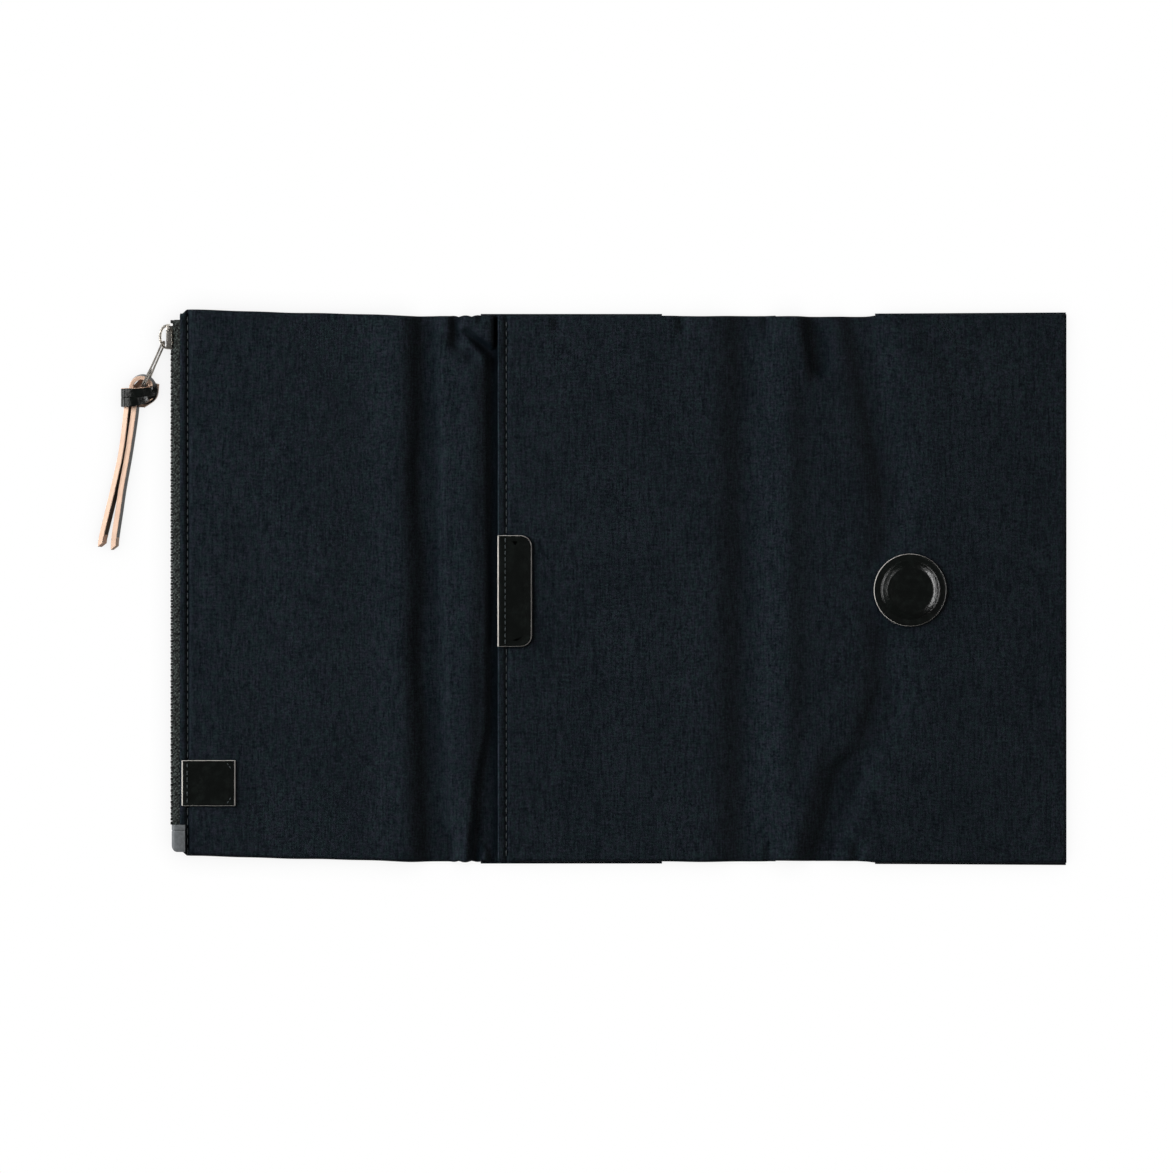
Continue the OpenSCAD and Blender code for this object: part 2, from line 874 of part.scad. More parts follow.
// Wire loop through the bridge
module pull_wire() {
    r = loop_w / 2;
    straight = loop_l - 2 * r;
    color(nickel)
        translate([pin_x, pin_y, chain_z])
            rotate([0, 0, -loop_lean])
                translate([0, -r, 0])
                    rotate([0, 90, 0])
                        union() {
                            rotate_extrude(angle = 180)
                                translate([r, 0])
                                    circle(d = wire_d, $fn = 24);
                            translate([0, -straight, 0])
                                rotate([0, 0, 180])
                                    rotate_extrude(angle = 180)
                                        translate([r, 0])
                                            circle(d = wire_d, $fn = 24);
                            for (side = [-1, 1])
                                translate([side * r, 0, 0])
                                    rotate([90, 0, 0])
                                        cylinder(d = wire_d, h = straight, $fn = 24);
                        }
}

// One tail of the lace, cut at a slant
module lace_tail(x, lean, len) {
    end = len + tail_root;
    translate([x, band_top - band_h + tail_root, tail_z])
        rotate([0, 0, -90 - lean])
            rotate([lace_roll, 0, 0])
                linear_extrude(lace_w, center = true)
                    polygon([
                        [0, -lace_t / 2], [0, lace_t / 2],
                        [end, lace_t / 2], [end - tail_slant, -lace_t / 2]
                    ]);
}

// The band from above: square where the lace folds round the tails, rounded where it joins the ring
module band_plan() {
    left = band_x - band_l;
    right = band_x + band_tip;
    bottom = band_top - band_h;
    polygon(concat(
        [[left, band_top], [left, bottom]],
        arc([right - band_round[0], bottom + band_round[1]], band_round[0], band_round[1], 270, 360, 6),
        [[right, band_top]]
    ));
}

// The band from its end: two passes of the lace with a crease between them above and below
module band_side() {
    middle = band_top - band_h / 2;
    polygon([
        [band_top - band_h, table_play], [middle - band_crease, table_play],
        [middle, table_play + band_crease], [middle + band_crease, table_play],
        [band_top, table_play], [band_top, band_z], [middle + band_crease, band_z],
        [middle, band_z - band_crease], [middle - band_crease, band_z], [band_top - band_h, band_z]
    ]);
}

// The band's folded left end, rounded as the lace turns over
module band_fold() {
    left = band_x - band_l;
    right = band_x + band_tip;
    run(band_top - band_h, band_top)
        polygon(concat(
            [[right, table_play]],
            [[right, band_z]],
            arc([left + lace_t, band_z - lace_t], lace_t, lace_t, 90, 180, 5),
            arc([left + lace_t, table_play + lace_t], lace_t, lace_t, 180, 270, 5)
        ));
}

// Leather lace: a ring round the wire, a band across the knot and two tails
module pull_strap() {
    tail_x = band_x - band_l + band_play + lace_w;
    color(natural_leather)
        union() {
            translate([ring_x, ring_y, chain_z - lace_w / 2])
                linear_extrude(lace_w)
                    difference() {
                        circle(r = ring_r);
                        circle(r = ring_r - lace_t);
                    }
            intersection() {
                linear_extrude(2 * band_z)
                    band_plan();
                across(band_x - band_l, band_x + band_tip)
                    band_side();
                band_fold();
            }
            lace_tail(tail_x, tail_lean + 0.6, tail_l - tail_step);
            lace_tail(tail_x + tail_gap, tail_lean - 0.6, tail_l);
        }
}

back_sleeve();
back_lining();
back_board();
back_shell();
slip_pocket();
pocket_hem();
pocket_tab();
spine_lining();
spine_padding();
spine_outer();
front_sleeve();
front_lining();
front_board();
front_padding();
front_outer();
button_cover();
button_magnet();
button_washer();
gusset_lining();
gusset_padding();
gusset_outer();
flap_inner_panel();
flap_outer_panel();
pouch_lining_back();
pouch_lining_front();
pouch_seam();
flap_magnet();
flap_magnet_cover();
square_label();
zip_tape_front();
zip_tape_back();
zip_teeth_front();
zip_teeth_back();
zip_top_stops();
zip_bottom_stop();
zip_end_tab();
slider_body();
slider_bridge();
pull_wire();
pull_strap();
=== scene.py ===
"""Dresses a fabric notebook cover: woven cloth with its folds, leather, zip, slider, wire pull and lace."""

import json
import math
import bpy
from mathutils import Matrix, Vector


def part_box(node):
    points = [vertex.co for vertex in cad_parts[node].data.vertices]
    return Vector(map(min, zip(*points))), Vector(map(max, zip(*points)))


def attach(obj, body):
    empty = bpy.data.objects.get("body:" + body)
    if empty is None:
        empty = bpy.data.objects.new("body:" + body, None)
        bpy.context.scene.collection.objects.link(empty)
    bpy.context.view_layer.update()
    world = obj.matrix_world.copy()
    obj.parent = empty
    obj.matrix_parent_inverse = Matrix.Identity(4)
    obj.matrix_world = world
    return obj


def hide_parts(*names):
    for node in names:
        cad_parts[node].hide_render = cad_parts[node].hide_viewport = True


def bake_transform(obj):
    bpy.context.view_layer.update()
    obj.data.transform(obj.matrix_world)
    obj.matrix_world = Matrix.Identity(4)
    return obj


bl_info = {
    "name": "Notebook Cover Dressing",
    "version": (1, 0, 0),
    "blender": (4, 5, 0),
    "location": "View3D > Sidebar > Notebook Cover",
    "description": "Builds the cloth, leather, zip and pull of a fold-over notebook cover round its frame",
    "category": "Object",
}

import bmesh
import bpy
import numpy as np
from mathutils import Vector

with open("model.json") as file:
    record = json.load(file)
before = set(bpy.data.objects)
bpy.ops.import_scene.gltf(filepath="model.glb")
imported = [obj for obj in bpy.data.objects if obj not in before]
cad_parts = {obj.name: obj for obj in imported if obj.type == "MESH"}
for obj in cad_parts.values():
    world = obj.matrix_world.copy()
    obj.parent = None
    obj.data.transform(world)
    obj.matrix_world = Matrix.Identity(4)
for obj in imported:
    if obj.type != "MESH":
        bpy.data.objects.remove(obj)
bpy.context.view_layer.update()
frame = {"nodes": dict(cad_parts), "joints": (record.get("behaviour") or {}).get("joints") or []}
MM = 0.001


# The frame's places, in millimetres -----------------------------------------------------------


def low(node):
    """Lowest corner of a node, in millimetres."""
    return np.array(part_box(node)[0]) / MM


def high(node):
    """Highest corner of a node, in millimetres."""
    return np.array(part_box(node)[1]) / MM


def joint_place(name):
    """Where a joint's axis lies, in millimetres."""
    found = [joint for joint in frame["joints"] if joint["name"] == name]
    return np.array(found[0]["pos_m"]) / MM


CREASES = {
    "flap": joint_place("flap_fold")[0],
    "gusset": joint_place("gusset_fold")[0],
    "spine": joint_place("spine_fold")[0],
    "front": joint_place("cover_fold")[0],
}
HALF_H = high("back_lining")[1]
CLOTH_TOP = high("gusset_outer")[2]
FLAP_EDGE = low("flap_inner_panel")[0]
FLAP_FLOOR = low("flap_inner_panel")[2]
ZIP_END_H = high("flap_outer_panel")[2]
FLAP_RISE = high("flap_inner_panel")[1] - HALF_H
FRONT_EDGE = high("front_outer")[0]
FRONT_RISE = high("front_outer")[1] - HALF_H
MOUTH_X = low("slip_pocket")[0]
POCKET_FLOOR = low("pocket_hem")[2]
SLEEVE_TOP = low("back_lining")[2]
GUSSET_MIDDLE = (CREASES["flap"] + CREASES["gusset"]) / 2
SPINE_MIDDLE = (CREASES["spine"] + CREASES["front"]) / 2
# sewn lines: beside the zip, along the pocket's mouth, and how far one lies from a sleeve's mouth
ZIP_SEAM_X = FLAP_EDGE + 3.1
MOUTH_SEAM_X = MOUTH_X + 3.4
SLEEVE_SEAM = 3.5
CHAIN_Z = (low("zip_bottom_stop")[2] + high("zip_bottom_stop")[2]) / 2
BUTTON_AT = (low("button_cover") + high("button_cover")) / 2


# Settings --------------------------------------------------------------------------------------


def length(name, description, default):
    """A length property, stored in metres."""
    return bpy.props.FloatProperty(
        name=name, description=description, default=default, unit="LENGTH", precision=5
    )


def colour(name, description, default):
    """A colour property."""
    return bpy.props.FloatVectorProperty(
        name=name, description=description, default=default, size=3, subtype="COLOR", min=0, max=1
    )


class ClothSettings(bpy.types.PropertyGroup):
    """Sizes and colours of the cloth and the sewing thread"""

    grid: length("Grid", "Distance between the points of the cloth's mesh", 0.0015)
    hem_round: length("Hem round", "Radius of the folded hems along the top and the bottom", 0.0016)
    bend_reach: length("Bend reach", "How far each side of a crease the cloth bends", 0.006)
    thread_pitch: length("Thread pitch", "Distance between two threads of the weave", 0.00042)
    navy: colour("Navy cloth", "Colour of the outer cloth", (0.0015, 0.003, 0.0048))
    navy_fleck: colour("Navy fleck", "Colour of the cloth's lighter threads", (0.0146, 0.0204, 0.0258))
    lining: colour("Lining", "Colour of the lining cloth", (0.011, 0.0115, 0.013))
    thread: colour("Thread", "Colour of the sewing thread", (0.026, 0.031, 0.033))
    stitch_length: length("Stitch length", "Distance from one stitch to the next", 0.0033)
    stitch_thread: length("Stitch thread", "Thickness of the sewing thread", 0.0004)


class LeatherSettings(bpy.types.PropertyGroup):
    """Edge and colours of the leather pieces"""

    edge: length("Raw edge", "Width of the slanted raw edge round a leather piece", 0.00021)
    black: colour("Black grain", "Colour of the black side of the leather", (0.0011, 0.0019, 0.0015))
    raw: colour("Raw edge colour", "Colour of the cut edge of black leather", (0.42, 0.4, 0.375))
    natural: colour("Natural side", "Colour of the undyed side of the leather", (0.56, 0.385, 0.285))


class ZipSettings(bpy.types.PropertyGroup):
    """Pitch and colours of the zip, its slider and its wire"""

    pitch: length("Tooth pitch", "Distance between two teeth of a row", 0.00229)
    tape: colour("Tape", "Colour of the zip tape", (0.0028, 0.0035, 0.0032))
    teeth: colour("Teeth", "Colour of the zip's teeth", (0.022, 0.023, 0.022))
    nickel: colour("Nickel", "Colour of the slider and the wire", (0.74, 0.69, 0.62))
    end_tab: colour("End tab", "Colour of the tab at the zip's end", (0.069, 0.074, 0.078))


class LaceSettings(bpy.types.PropertyGroup):
    """Section of the leather lace and how its tails lie"""

    width: length("Lace width", "Width of the leather lace", 0.003)
    thickness: length("Lace thickness", "Thickness of the lace's two tails", 0.00234)
    roll: bpy.props.FloatProperty(
        name="Tail roll",
        description="How far each tail is rolled on its edge",
        default=math.radians(62),
        subtype="ANGLE",
    )


class StageSettings(bpy.types.PropertyGroup):
    """The floor's shadow, the camera and the lamps"""

    shadow_reach: length("Shadow reach", "How far the floor's shadow reaches from the object", 0.01)
    shadow_depth: bpy.props.FloatProperty(
        name="Shadow depth", description="How dark the floor's shadow is", default=0.2, min=0, max=1
    )
    frame_width: length("Frame width", "Width of the picture at the cloth", 0.4692)
    camera_height: length("Camera height", "Height of the camera over the table", 1.564)
    left_light: bpy.props.FloatProperty(
        name="Left light", description="Brightness of the wide lamp on the left", default=14.6
    )
    right_light: bpy.props.FloatProperty(
        name="Right light", description="Brightness of the narrow lamp on the right", default=8
    )
    gloss_light: bpy.props.FloatProperty(
        name="Gloss light", description="Brightness of the strips seen in glossy surfaces", default=12
    )


class CoverSettings(bpy.types.PropertyGroup):
    """All settings of the cover"""

    cloth: bpy.props.PointerProperty(type=ClothSettings, name="Cloth", description="Cloth and thread")
    leather: bpy.props.PointerProperty(type=LeatherSettings, name="Leather", description="Leather pieces")
    zip: bpy.props.PointerProperty(type=ZipSettings, name="Zip", description="Zip, slider and wire")
    lace: bpy.props.PointerProperty(type=LaceSettings, name="Lace", description="Leather lace")
    stage: bpy.props.PointerProperty(type=StageSettings, name="Stage", description="Floor, lights, camera")


def settings():
    """The scene's settings for this cover."""
    return bpy.context.scene.notebook_cover


# Materials -------------------------------------------------------------------------------------


class Nodes:
    """A node tree: nodes are added by kind and linked by socket name."""

    def __init__(self, tree):
        self.tree = tree

    def add(self, kind, links=None, values=None, **attributes):
        """Adds a node. links maps an input to (node, output), values maps an input to a constant."""
        node = self.tree.nodes.new("ShaderNode" + kind)
        for key, value in attributes.items():
            setattr(node, key, value)
        for key, value in (values or {}).items():
            node.inputs[key].default_value = value
        for key, source in (links or {}).items():
            self.link(source, node.inputs[key])
        return node

    def link(self, source, socket):
        """Links a (node, output) pair to a socket."""
        self.tree.links.new(source[0].outputs[source[1]], socket)

    def math(self, operation, first, second=None):
        """A maths node. Each operand is a number or a (node, output) pair."""
        node = self.add("Math", operation=operation)
        for index, value in enumerate((first, second)):
            if isinstance(value, tuple):
                self.link(value, node.inputs[index])
            elif value is not None:
                node.inputs[index].default_value = value
        return (node, "Value")

    def span(self, source, from_low, from_high, to_low, to_high):
        """Maps a value from one span to another, clamped."""
        values = {"From Min": from_low, "From Max": from_high, "To Min": to_low, "To Max": to_high}
        return (self.add("MapRange", {"Value": source}, values), "Result")


class Finish(Nodes):
    """A procedural material round one shader."""

    def __init__(self, name):
        self.material = bpy.data.materials.new(name)
        self.material.use_nodes = True
        super().__init__(self.material.node_tree)
        self.shader = self.tree.nodes["Principled BSDF"]

    def place(self):
        """Place on the cloth before any fold of the cover, in millimetres."""
        return (self.add("Attribute", attribute_name="rest"), "Vector")

    def scaled(self, source, scale):
        """A vector scaled along each axis."""
        return (self.add("Mapping", {"Vector": source}, {"Scale": scale}), "Vector")

    def noise(self, source, scale, detail=2.0, roughness=0.5):
        """A noise value from 0 to 1."""
        values = {"Scale": scale, "Detail": detail, "Roughness": roughness}
        return (self.add("TexNoise", {"Vector": source}, values), "Fac")

    def mix(self, factor, first, second):
        """Mixes two colours. Each is three numbers or a (node, output) pair."""
        node = self.add("Mix", {"Factor": factor}, data_type="RGBA")
        for index, value in ((6, first), (7, second)):
            if isinstance(value[0], bpy.types.Node):
                self.link(value, node.inputs[index])
            else:
                node.inputs[index].default_value = (*value, 1)
        return (node, 2)

    def bump(self, height, strength, distance, below=None):
        """A bump node. distance is in metres, and below is the bump that it adds to."""
        links = {"Height": height}
        if below:
            links["Normal"] = below
        return (self.add("Bump", links, {"Strength": strength, "Distance": distance}), "Normal")

    def set(self, **inputs):
        """Sets the shader's inputs to constants or links, by name with _ for a space."""
        for key, value in inputs.items():
            socket = self.shader.inputs[key.replace("_", " ")]
            if isinstance(value, tuple) and isinstance(value[0], bpy.types.Node):
                self.link(value, socket)
            elif isinstance(value, tuple):
                socket.default_value = (*value, 1)
            else:
                socket.default_value = value
        return self.material


def woven(name, base, fleck, pitch_mm, sheen, shaded=False):
    """Plain woven cloth: uneven threads both ways, with a weave in the bump. Shaded cloth has painted
    shade:
    its lighter threads fade out deep in its folds, in hollows and beside other parts, by an occlusion mask."""
    cloth = Finish(name)
    at = cloth.place()
    turn = 2 * math.pi / pitch_mm
    split = cloth.add("SeparateXYZ", {"Vector": at})
    warp = cloth.math("SINE", cloth.math("MULTIPLY", (split, "X"), turn))
    weft = cloth.math("SINE", cloth.math("MULTIPLY", (split, "Y"), turn))
    weave = cloth.math("MULTIPLY", warp, weft)
    long_slub = cloth.noise(cloth.scaled(at, (1.5, 0.17, 0.4)), 1.0, 3.0, 0.65)
    cross_slub = cloth.noise(cloth.scaled(at, (0.4, 1.4, 0.4)), 1.0, 3.0, 0.65)
    cloud = cloth.noise(cloth.scaled(at, (0.045, 0.03, 0.05)), 1.0, 3.0, 0.6)
    speck = cloth.noise(cloth.scaled(at, (1.25, 0.95, 1.0)), 1.0, 3.0, 0.75)
    slub = cloth.math(
        "ADD", cloth.math("MULTIPLY", long_slub, 1.15), cloth.math("MULTIPLY", cross_slub, 0.85)
    )
    streak = cloth.span(slub, 0.82, 1.2, 0.0, 0.6)
    flecks = cloth.span(speck, 0.42, 0.68, 0.0, 0.5)
    light = cloth.math("ADD", streak, flecks)
    light = cloth.math("MULTIPLY", light, cloth.span(cloud, 0.25, 0.75, 0.78, 1.22))
    fine = cloth.noise(cloth.scaled(at, (2.3, 1.9, 2.0)), 1.0, 2.0, 0.8)
    light = cloth.math("MULTIPLY", light, cloth.span(fine, 0.35, 0.65, 0.55, 1.45))
    hue = cloth.noise(cloth.scaled(at, (0.5, 0.4, 0.5)), 1.0, 2.0, 0.6)
    # the threads' colour drifts a little between a greener and a more violet navy
    green = tuple(c * g for c, g in zip(fleck, (0.86, 1.06, 0.94)))
    violet = tuple(c * g for c, g in zip(fleck, (1.12, 0.94, 1.06)))
    threads = cloth.mix(cloth.span(hue, 0.4, 0.6, 0.0, 1.0), green, violet)
    if shaded:
        # painted shade: an occlusion mask takes the lighter threads out in folds, hollows and beside other
        # parts
        near = cloth.add("AmbientOcclusion", values={"Distance": 0.012}, samples=6)
        light = cloth.math("MULTIPLY", light, cloth.span((near, "AO"), 0.55, 0.97, 0.0, 1.0))
    fibre = cloth.bump(slub, 0.35, 0.00012)
    surface = cloth.bump(weave, 0.3, 0.00006, fibre)
    return cloth.set(
        Base_Color=cloth.mix(light, tuple(base), threads),
        Roughness=cloth.span(slub, 0.7, 1.3, 0.62, 0.78),
        Normal=surface,
        Specular_IOR_Level=0.035,
        Sheen_Weight=sheen,
        Sheen_Roughness=0.45,
        Sheen_Tint=(0.5, 0.62, 0.8),
    )


def grained(name, base, worn):
    """Glossy pebbled leather with slight wear."""
    hide = Finish(name)
    at = hide.place()
    pebble = (hide.add("TexVoronoi", {"Vector": at}, {"Scale": 1.25}), "Distance")
    fine = hide.noise(at, 2.4, 4.0, 0.65)
    patch = hide.noise(at, 0.3, 4.0, 0.65)
    grain = hide.bump(pebble, 0.4, 0.0001)
    surface = hide.bump(fine, 0.3, 0.00009, grain)
    wear = hide.span(patch, 0.5, 0.75, 0.0, 0.7)
    return hide.set(
        Base_Color=hide.mix(wear, tuple(base), tuple(worn)),
        Roughness=hide.span(patch, 0.3, 0.7, 0.19, 0.27),
        Normal=surface,
        Specular_IOR_Level=0.42,
        Coat_Weight=0.06,
        Coat_Roughness=0.18,
    )


def fibrous(name, base, dark, rough):
    """Undyed leather: the cut edge or the flesh side, with fine fibres."""
    hide = Finish(name)
    at = hide.place()
    fibre = hide.noise(hide.scaled(at, (2.5, 1.0, 2.5)), 1.2, 5.0, 0.65)
    stain = hide.noise(at, 0.16, 3.0, 0.6)
    tone = hide.math(
        "ADD", hide.span(fibre, 0.35, 0.75, 0.0, 0.45), hide.span(stain, 0.45, 0.75, 0.0, 0.5)
    )
    return hide.set(
        Base_Color=hide.mix(tone, tuple(base), tuple(dark)),
        Roughness=hide.span(fibre, 0.3, 0.7, rough, rough + 0.15),
        Normal=hide.bump(fibre, 0.22, 0.0001),
        Specular_IOR_Level=0.3,
    )


def plated(name, base, rough, metallic=1.0):
    """Plated metal with fine scratches and slight tarnish."""
    metal = Finish(name)
    at = metal.place()
    scratch = metal.noise(metal.scaled(at, (6.0, 0.8, 6.0)), 1.0, 3.0, 0.6)
    tarnish = metal.noise(at, 0.7, 3.0, 0.6)
    dull = tuple(0.7 * c for c in base)
    return metal.set(
        Base_Color=metal.mix(metal.span(tarnish, 0.4, 0.75, 0.0, 0.8), tuple(base), dull),
        Metallic=metallic,
        Roughness=metal.span(scratch, 0.3, 0.7, rough, rough + 0.14),
        Normal=metal.bump(scratch, 0.15, 0.00005),
    )


def taped(name, base, light):
    """Zip tape: a dense twill with ribs across the zip, its colour darker between the ribs and lighter on
    them: the twill's pattern with painted shade in its furrows.
    """
    rib_pitch, cord_pitch = 1.53, 1.7
    tape = Finish(name)
    at = tape.place()
    split = tape.add("SeparateXYZ", {"Vector": at})
    rib = tape.math("SINE", tape.math("MULTIPLY", (split, "Y"), 2 * math.pi / rib_pitch))
    cross = tape.math("ADD", (split, "Z"), (split, "X"))
    cord = tape.math("SINE", tape.math("MULTIPLY", cross, 2 * math.pi / cord_pitch))
    twill = tape.math("MULTIPLY", rib, cord)
    fuzz = tape.noise(at, 0.75, 3.0, 0.75)
    # painted shade: the colour darkens between the ribs and the cords, over the twill's own pattern
    tone = tape.math(
        "MULTIPLY", tape.span(twill, -0.6, 0.6, 0.25, 1.0), tape.span(fuzz, 0.45, 0.56, 0.0, 1.2)
    )
    return tape.set(
        Base_Color=tape.mix(tone, tuple(base), tuple(light)),
        Roughness=0.6,
        Normal=tape.bump(twill, 0.8, 0.0002),
        Specular_IOR_Level=0.2,
    )


def spun(name, base, light):
    """Sewing thread with a twist."""
    thread = Finish(name)
    at = thread.place()
    waves = {"Scale": 1.2, "Distortion": 1.0}
    twist = thread.add("TexWave", {"Vector": at}, waves, bands_direction="DIAGONAL")
    tone = thread.span((twist, "Fac"), 0.0, 1.0, 0.0, 1.0)
    return thread.set(
        Base_Color=thread.mix(tone, tuple(base), tuple(light)),
        Roughness=0.5,
        Normal=thread.bump((twist, "Fac"), 0.4, 0.0001),
        Specular_IOR_Level=0.1,
    )


def cut_tab(name, base, light):
    """Smooth coated fabric of the zip's end tab."""
    tab = Finish(name)
    at = tab.place()
    mottle = tab.noise(at, 0.9, 3.0, 0.6)
    weave = tab.noise(at, 4.0, 2.0, 0.5)
    return tab.set(
        Base_Color=tab.mix(tab.span(mottle, 0.35, 0.7, 0.0, 1.0), tuple(base), tuple(light)),
        Roughness=tab.span(mottle, 0.3, 0.7, 0.5, 0.65),
        Normal=tab.bump(weave, 0.3, 0.0001),
        Specular_IOR_Level=0.35,
    )


def lighter(base, gain):
    """A colour made lighter or darker by a factor."""
    return tuple(min(1.0, gain * c) for c in base)


def material(name):
    """The named finish, made on first use."""
    found = bpy.data.materials.get(f"{name}_finish")
    if found:
        return found
    cloth, leather, zips = settings().cloth, settings().leather, settings().zip
    pitch = cloth.thread_pitch / MM
    makers = {
        # the outer cloth carries painted shade in its folds; the inside cloth has none
        "navy_cloth": lambda n: woven(n, cloth.navy, cloth.navy_fleck, pitch, 0.002, shaded=True),
        "navy_inside": lambda n: woven(n, cloth.navy, cloth.navy_fleck, pitch, 0.002),
        # a lighter copy of the navy cloth: a painted highlight on the rounded fold of the pocket's mouth
        "highlit_fold": lambda n: woven(
            n, lighter(cloth.navy, 2.0), lighter(cloth.navy_fleck, 1.4), pitch, 0.004
        ),
        "black_lining": lambda n: woven(n, cloth.lining, lighter(cloth.lining, 2.2), 0.8 * pitch, 0.002),
        "black_leather": lambda n: grained(n, leather.black, lighter(leather.black, 3.5)),
        "raw_edge": lambda n: fibrous(n, leather.raw, lighter(leather.raw, 0.45), 0.55),
        "natural_leather": lambda n: fibrous(n, leather.natural, lighter(leather.natural, 0.74), 0.5),
        "nickel": lambda n: plated(n, zips.nickel, 0.16),
        "drawn_wire": lambda n: plated(n, lighter(zips.nickel, 0.3), 0.34),
        "dark_teeth": lambda n: plated(n, zips.teeth, 0.3, 0.6),
        "zip_tape": lambda n: taped(n, zips.tape, lighter(zips.tape, 13.0)),
        "grey_tab": lambda n: cut_tab(n, zips.end_tab, lighter(zips.end_tab, 1.5)),
        "sewing_thread": lambda n: spun(n, cloth.thread, lighter(cloth.thread, 2.6)),
    }
    return makers[name](f"{name}_finish")


# Mesh tools ------------------------------------------------------------------------------------


def make_piece(name, points, faces, finishes, face_finish=None):
    """A mesh object from points in millimetres. face_finish gives each face's index in finishes."""
    mesh = bpy.data.meshes.new(name)
    places = np.asarray(points, float)
    mesh.from_pydata((places * MM).tolist(), [], [list(face) for face in faces])
    for finish in finishes:
        mesh.materials.append(material(finish))
    if face_finish is not None:
        mesh.polygons.foreach_set("material_index", np.asarray(face_finish, np.int32))
    mesh.polygons.foreach_set("use_smooth", [True] * len(mesh.polygons))
    rest = mesh.attributes.new("rest", "FLOAT_VECTOR", "POINT")
    rest.data.foreach_set("vector", places.astype(np.float32).ravel())
    mesh.validate()
    mesh.update()
    piece = bpy.data.objects.new(name, mesh)
    bpy.context.scene.collection.objects.link(piece)
    return piece


def remember_place(piece):
    """Stores each point's place for the materials, for a mesh made or changed with bmesh."""
    mesh = piece.data
    places = np.zeros(len(mesh.vertices) * 3, np.float32)
    mesh.vertices.foreach_get("co", places)
    rest = mesh.attributes.get("rest") or mesh.attributes.new("rest", "FLOAT_VECTOR", "POINT")
    rest.data.foreach_set("vector", places / MM)


def sharpen(piece, degrees):
    """Marks edges sharper than an angle, so that they shade crisply."""
    shape = bmesh.new()
    shape.from_mesh(piece.data)
    limit = math.radians(degrees)
    for edge in shape.edges:
        if len(edge.link_faces) == 2:
            edge.smooth = edge.calc_face_angle(0.0) < limit
    shape.to_mesh(piece.data)
    shape.free()


def bevel(piece, width_mm, segments):
    """Rounds the edges of a solid that are sharper than 25 degrees."""
    shape = bmesh.new()
    shape.from_mesh(piece.data)
    limit = math.radians(25)
    edges = [e for e in shape.edges if len(e.link_faces) == 2 and e.calc_face_angle(0.0) > limit]
    bmesh.ops.bevel(
        shape,
        geom=edges,
        offset=width_mm * MM,
        segments=segments,
        profile=0.6,
        affect="EDGES",
        clamp_overlap=True,
    )
    shape.to_mesh(piece.data)
    shape.free()
    piece.data.polygons.foreach_set("use_smooth", [True] * len(piece.data.polygons))
    remember_place(piece)


def without_slivers(faces, finishes):
    """Drops repeated corners of each face, and faces with fewer than three corners."""
    kept, kept_finish = [], []
    for face, finish in zip(faces, finishes):
        corners = [c for i, c in enumerate(face) if c != face[i - 1]]
        if len(set(corners)) >= 3:
            kept.append(corners)
            kept_finish.append(finish)
    return kept, kept_finish


def spread(start, end, step, extra=()):
    """Evenly spaced values from start to end, about step apart, with extra values put in."""
    count = max(2, int(round((end - start) / step)) + 1)
    values = list(np.linspace(start, end, count))
    for value in extra:
        if start < value < end:
            values = [v for v in values if abs(v - value) > 0.18 * step or v in (start, end)]
            values.append(value)
    return np.array(sorted(values))


# Cloth -----------------------------------------------------------------------------------------

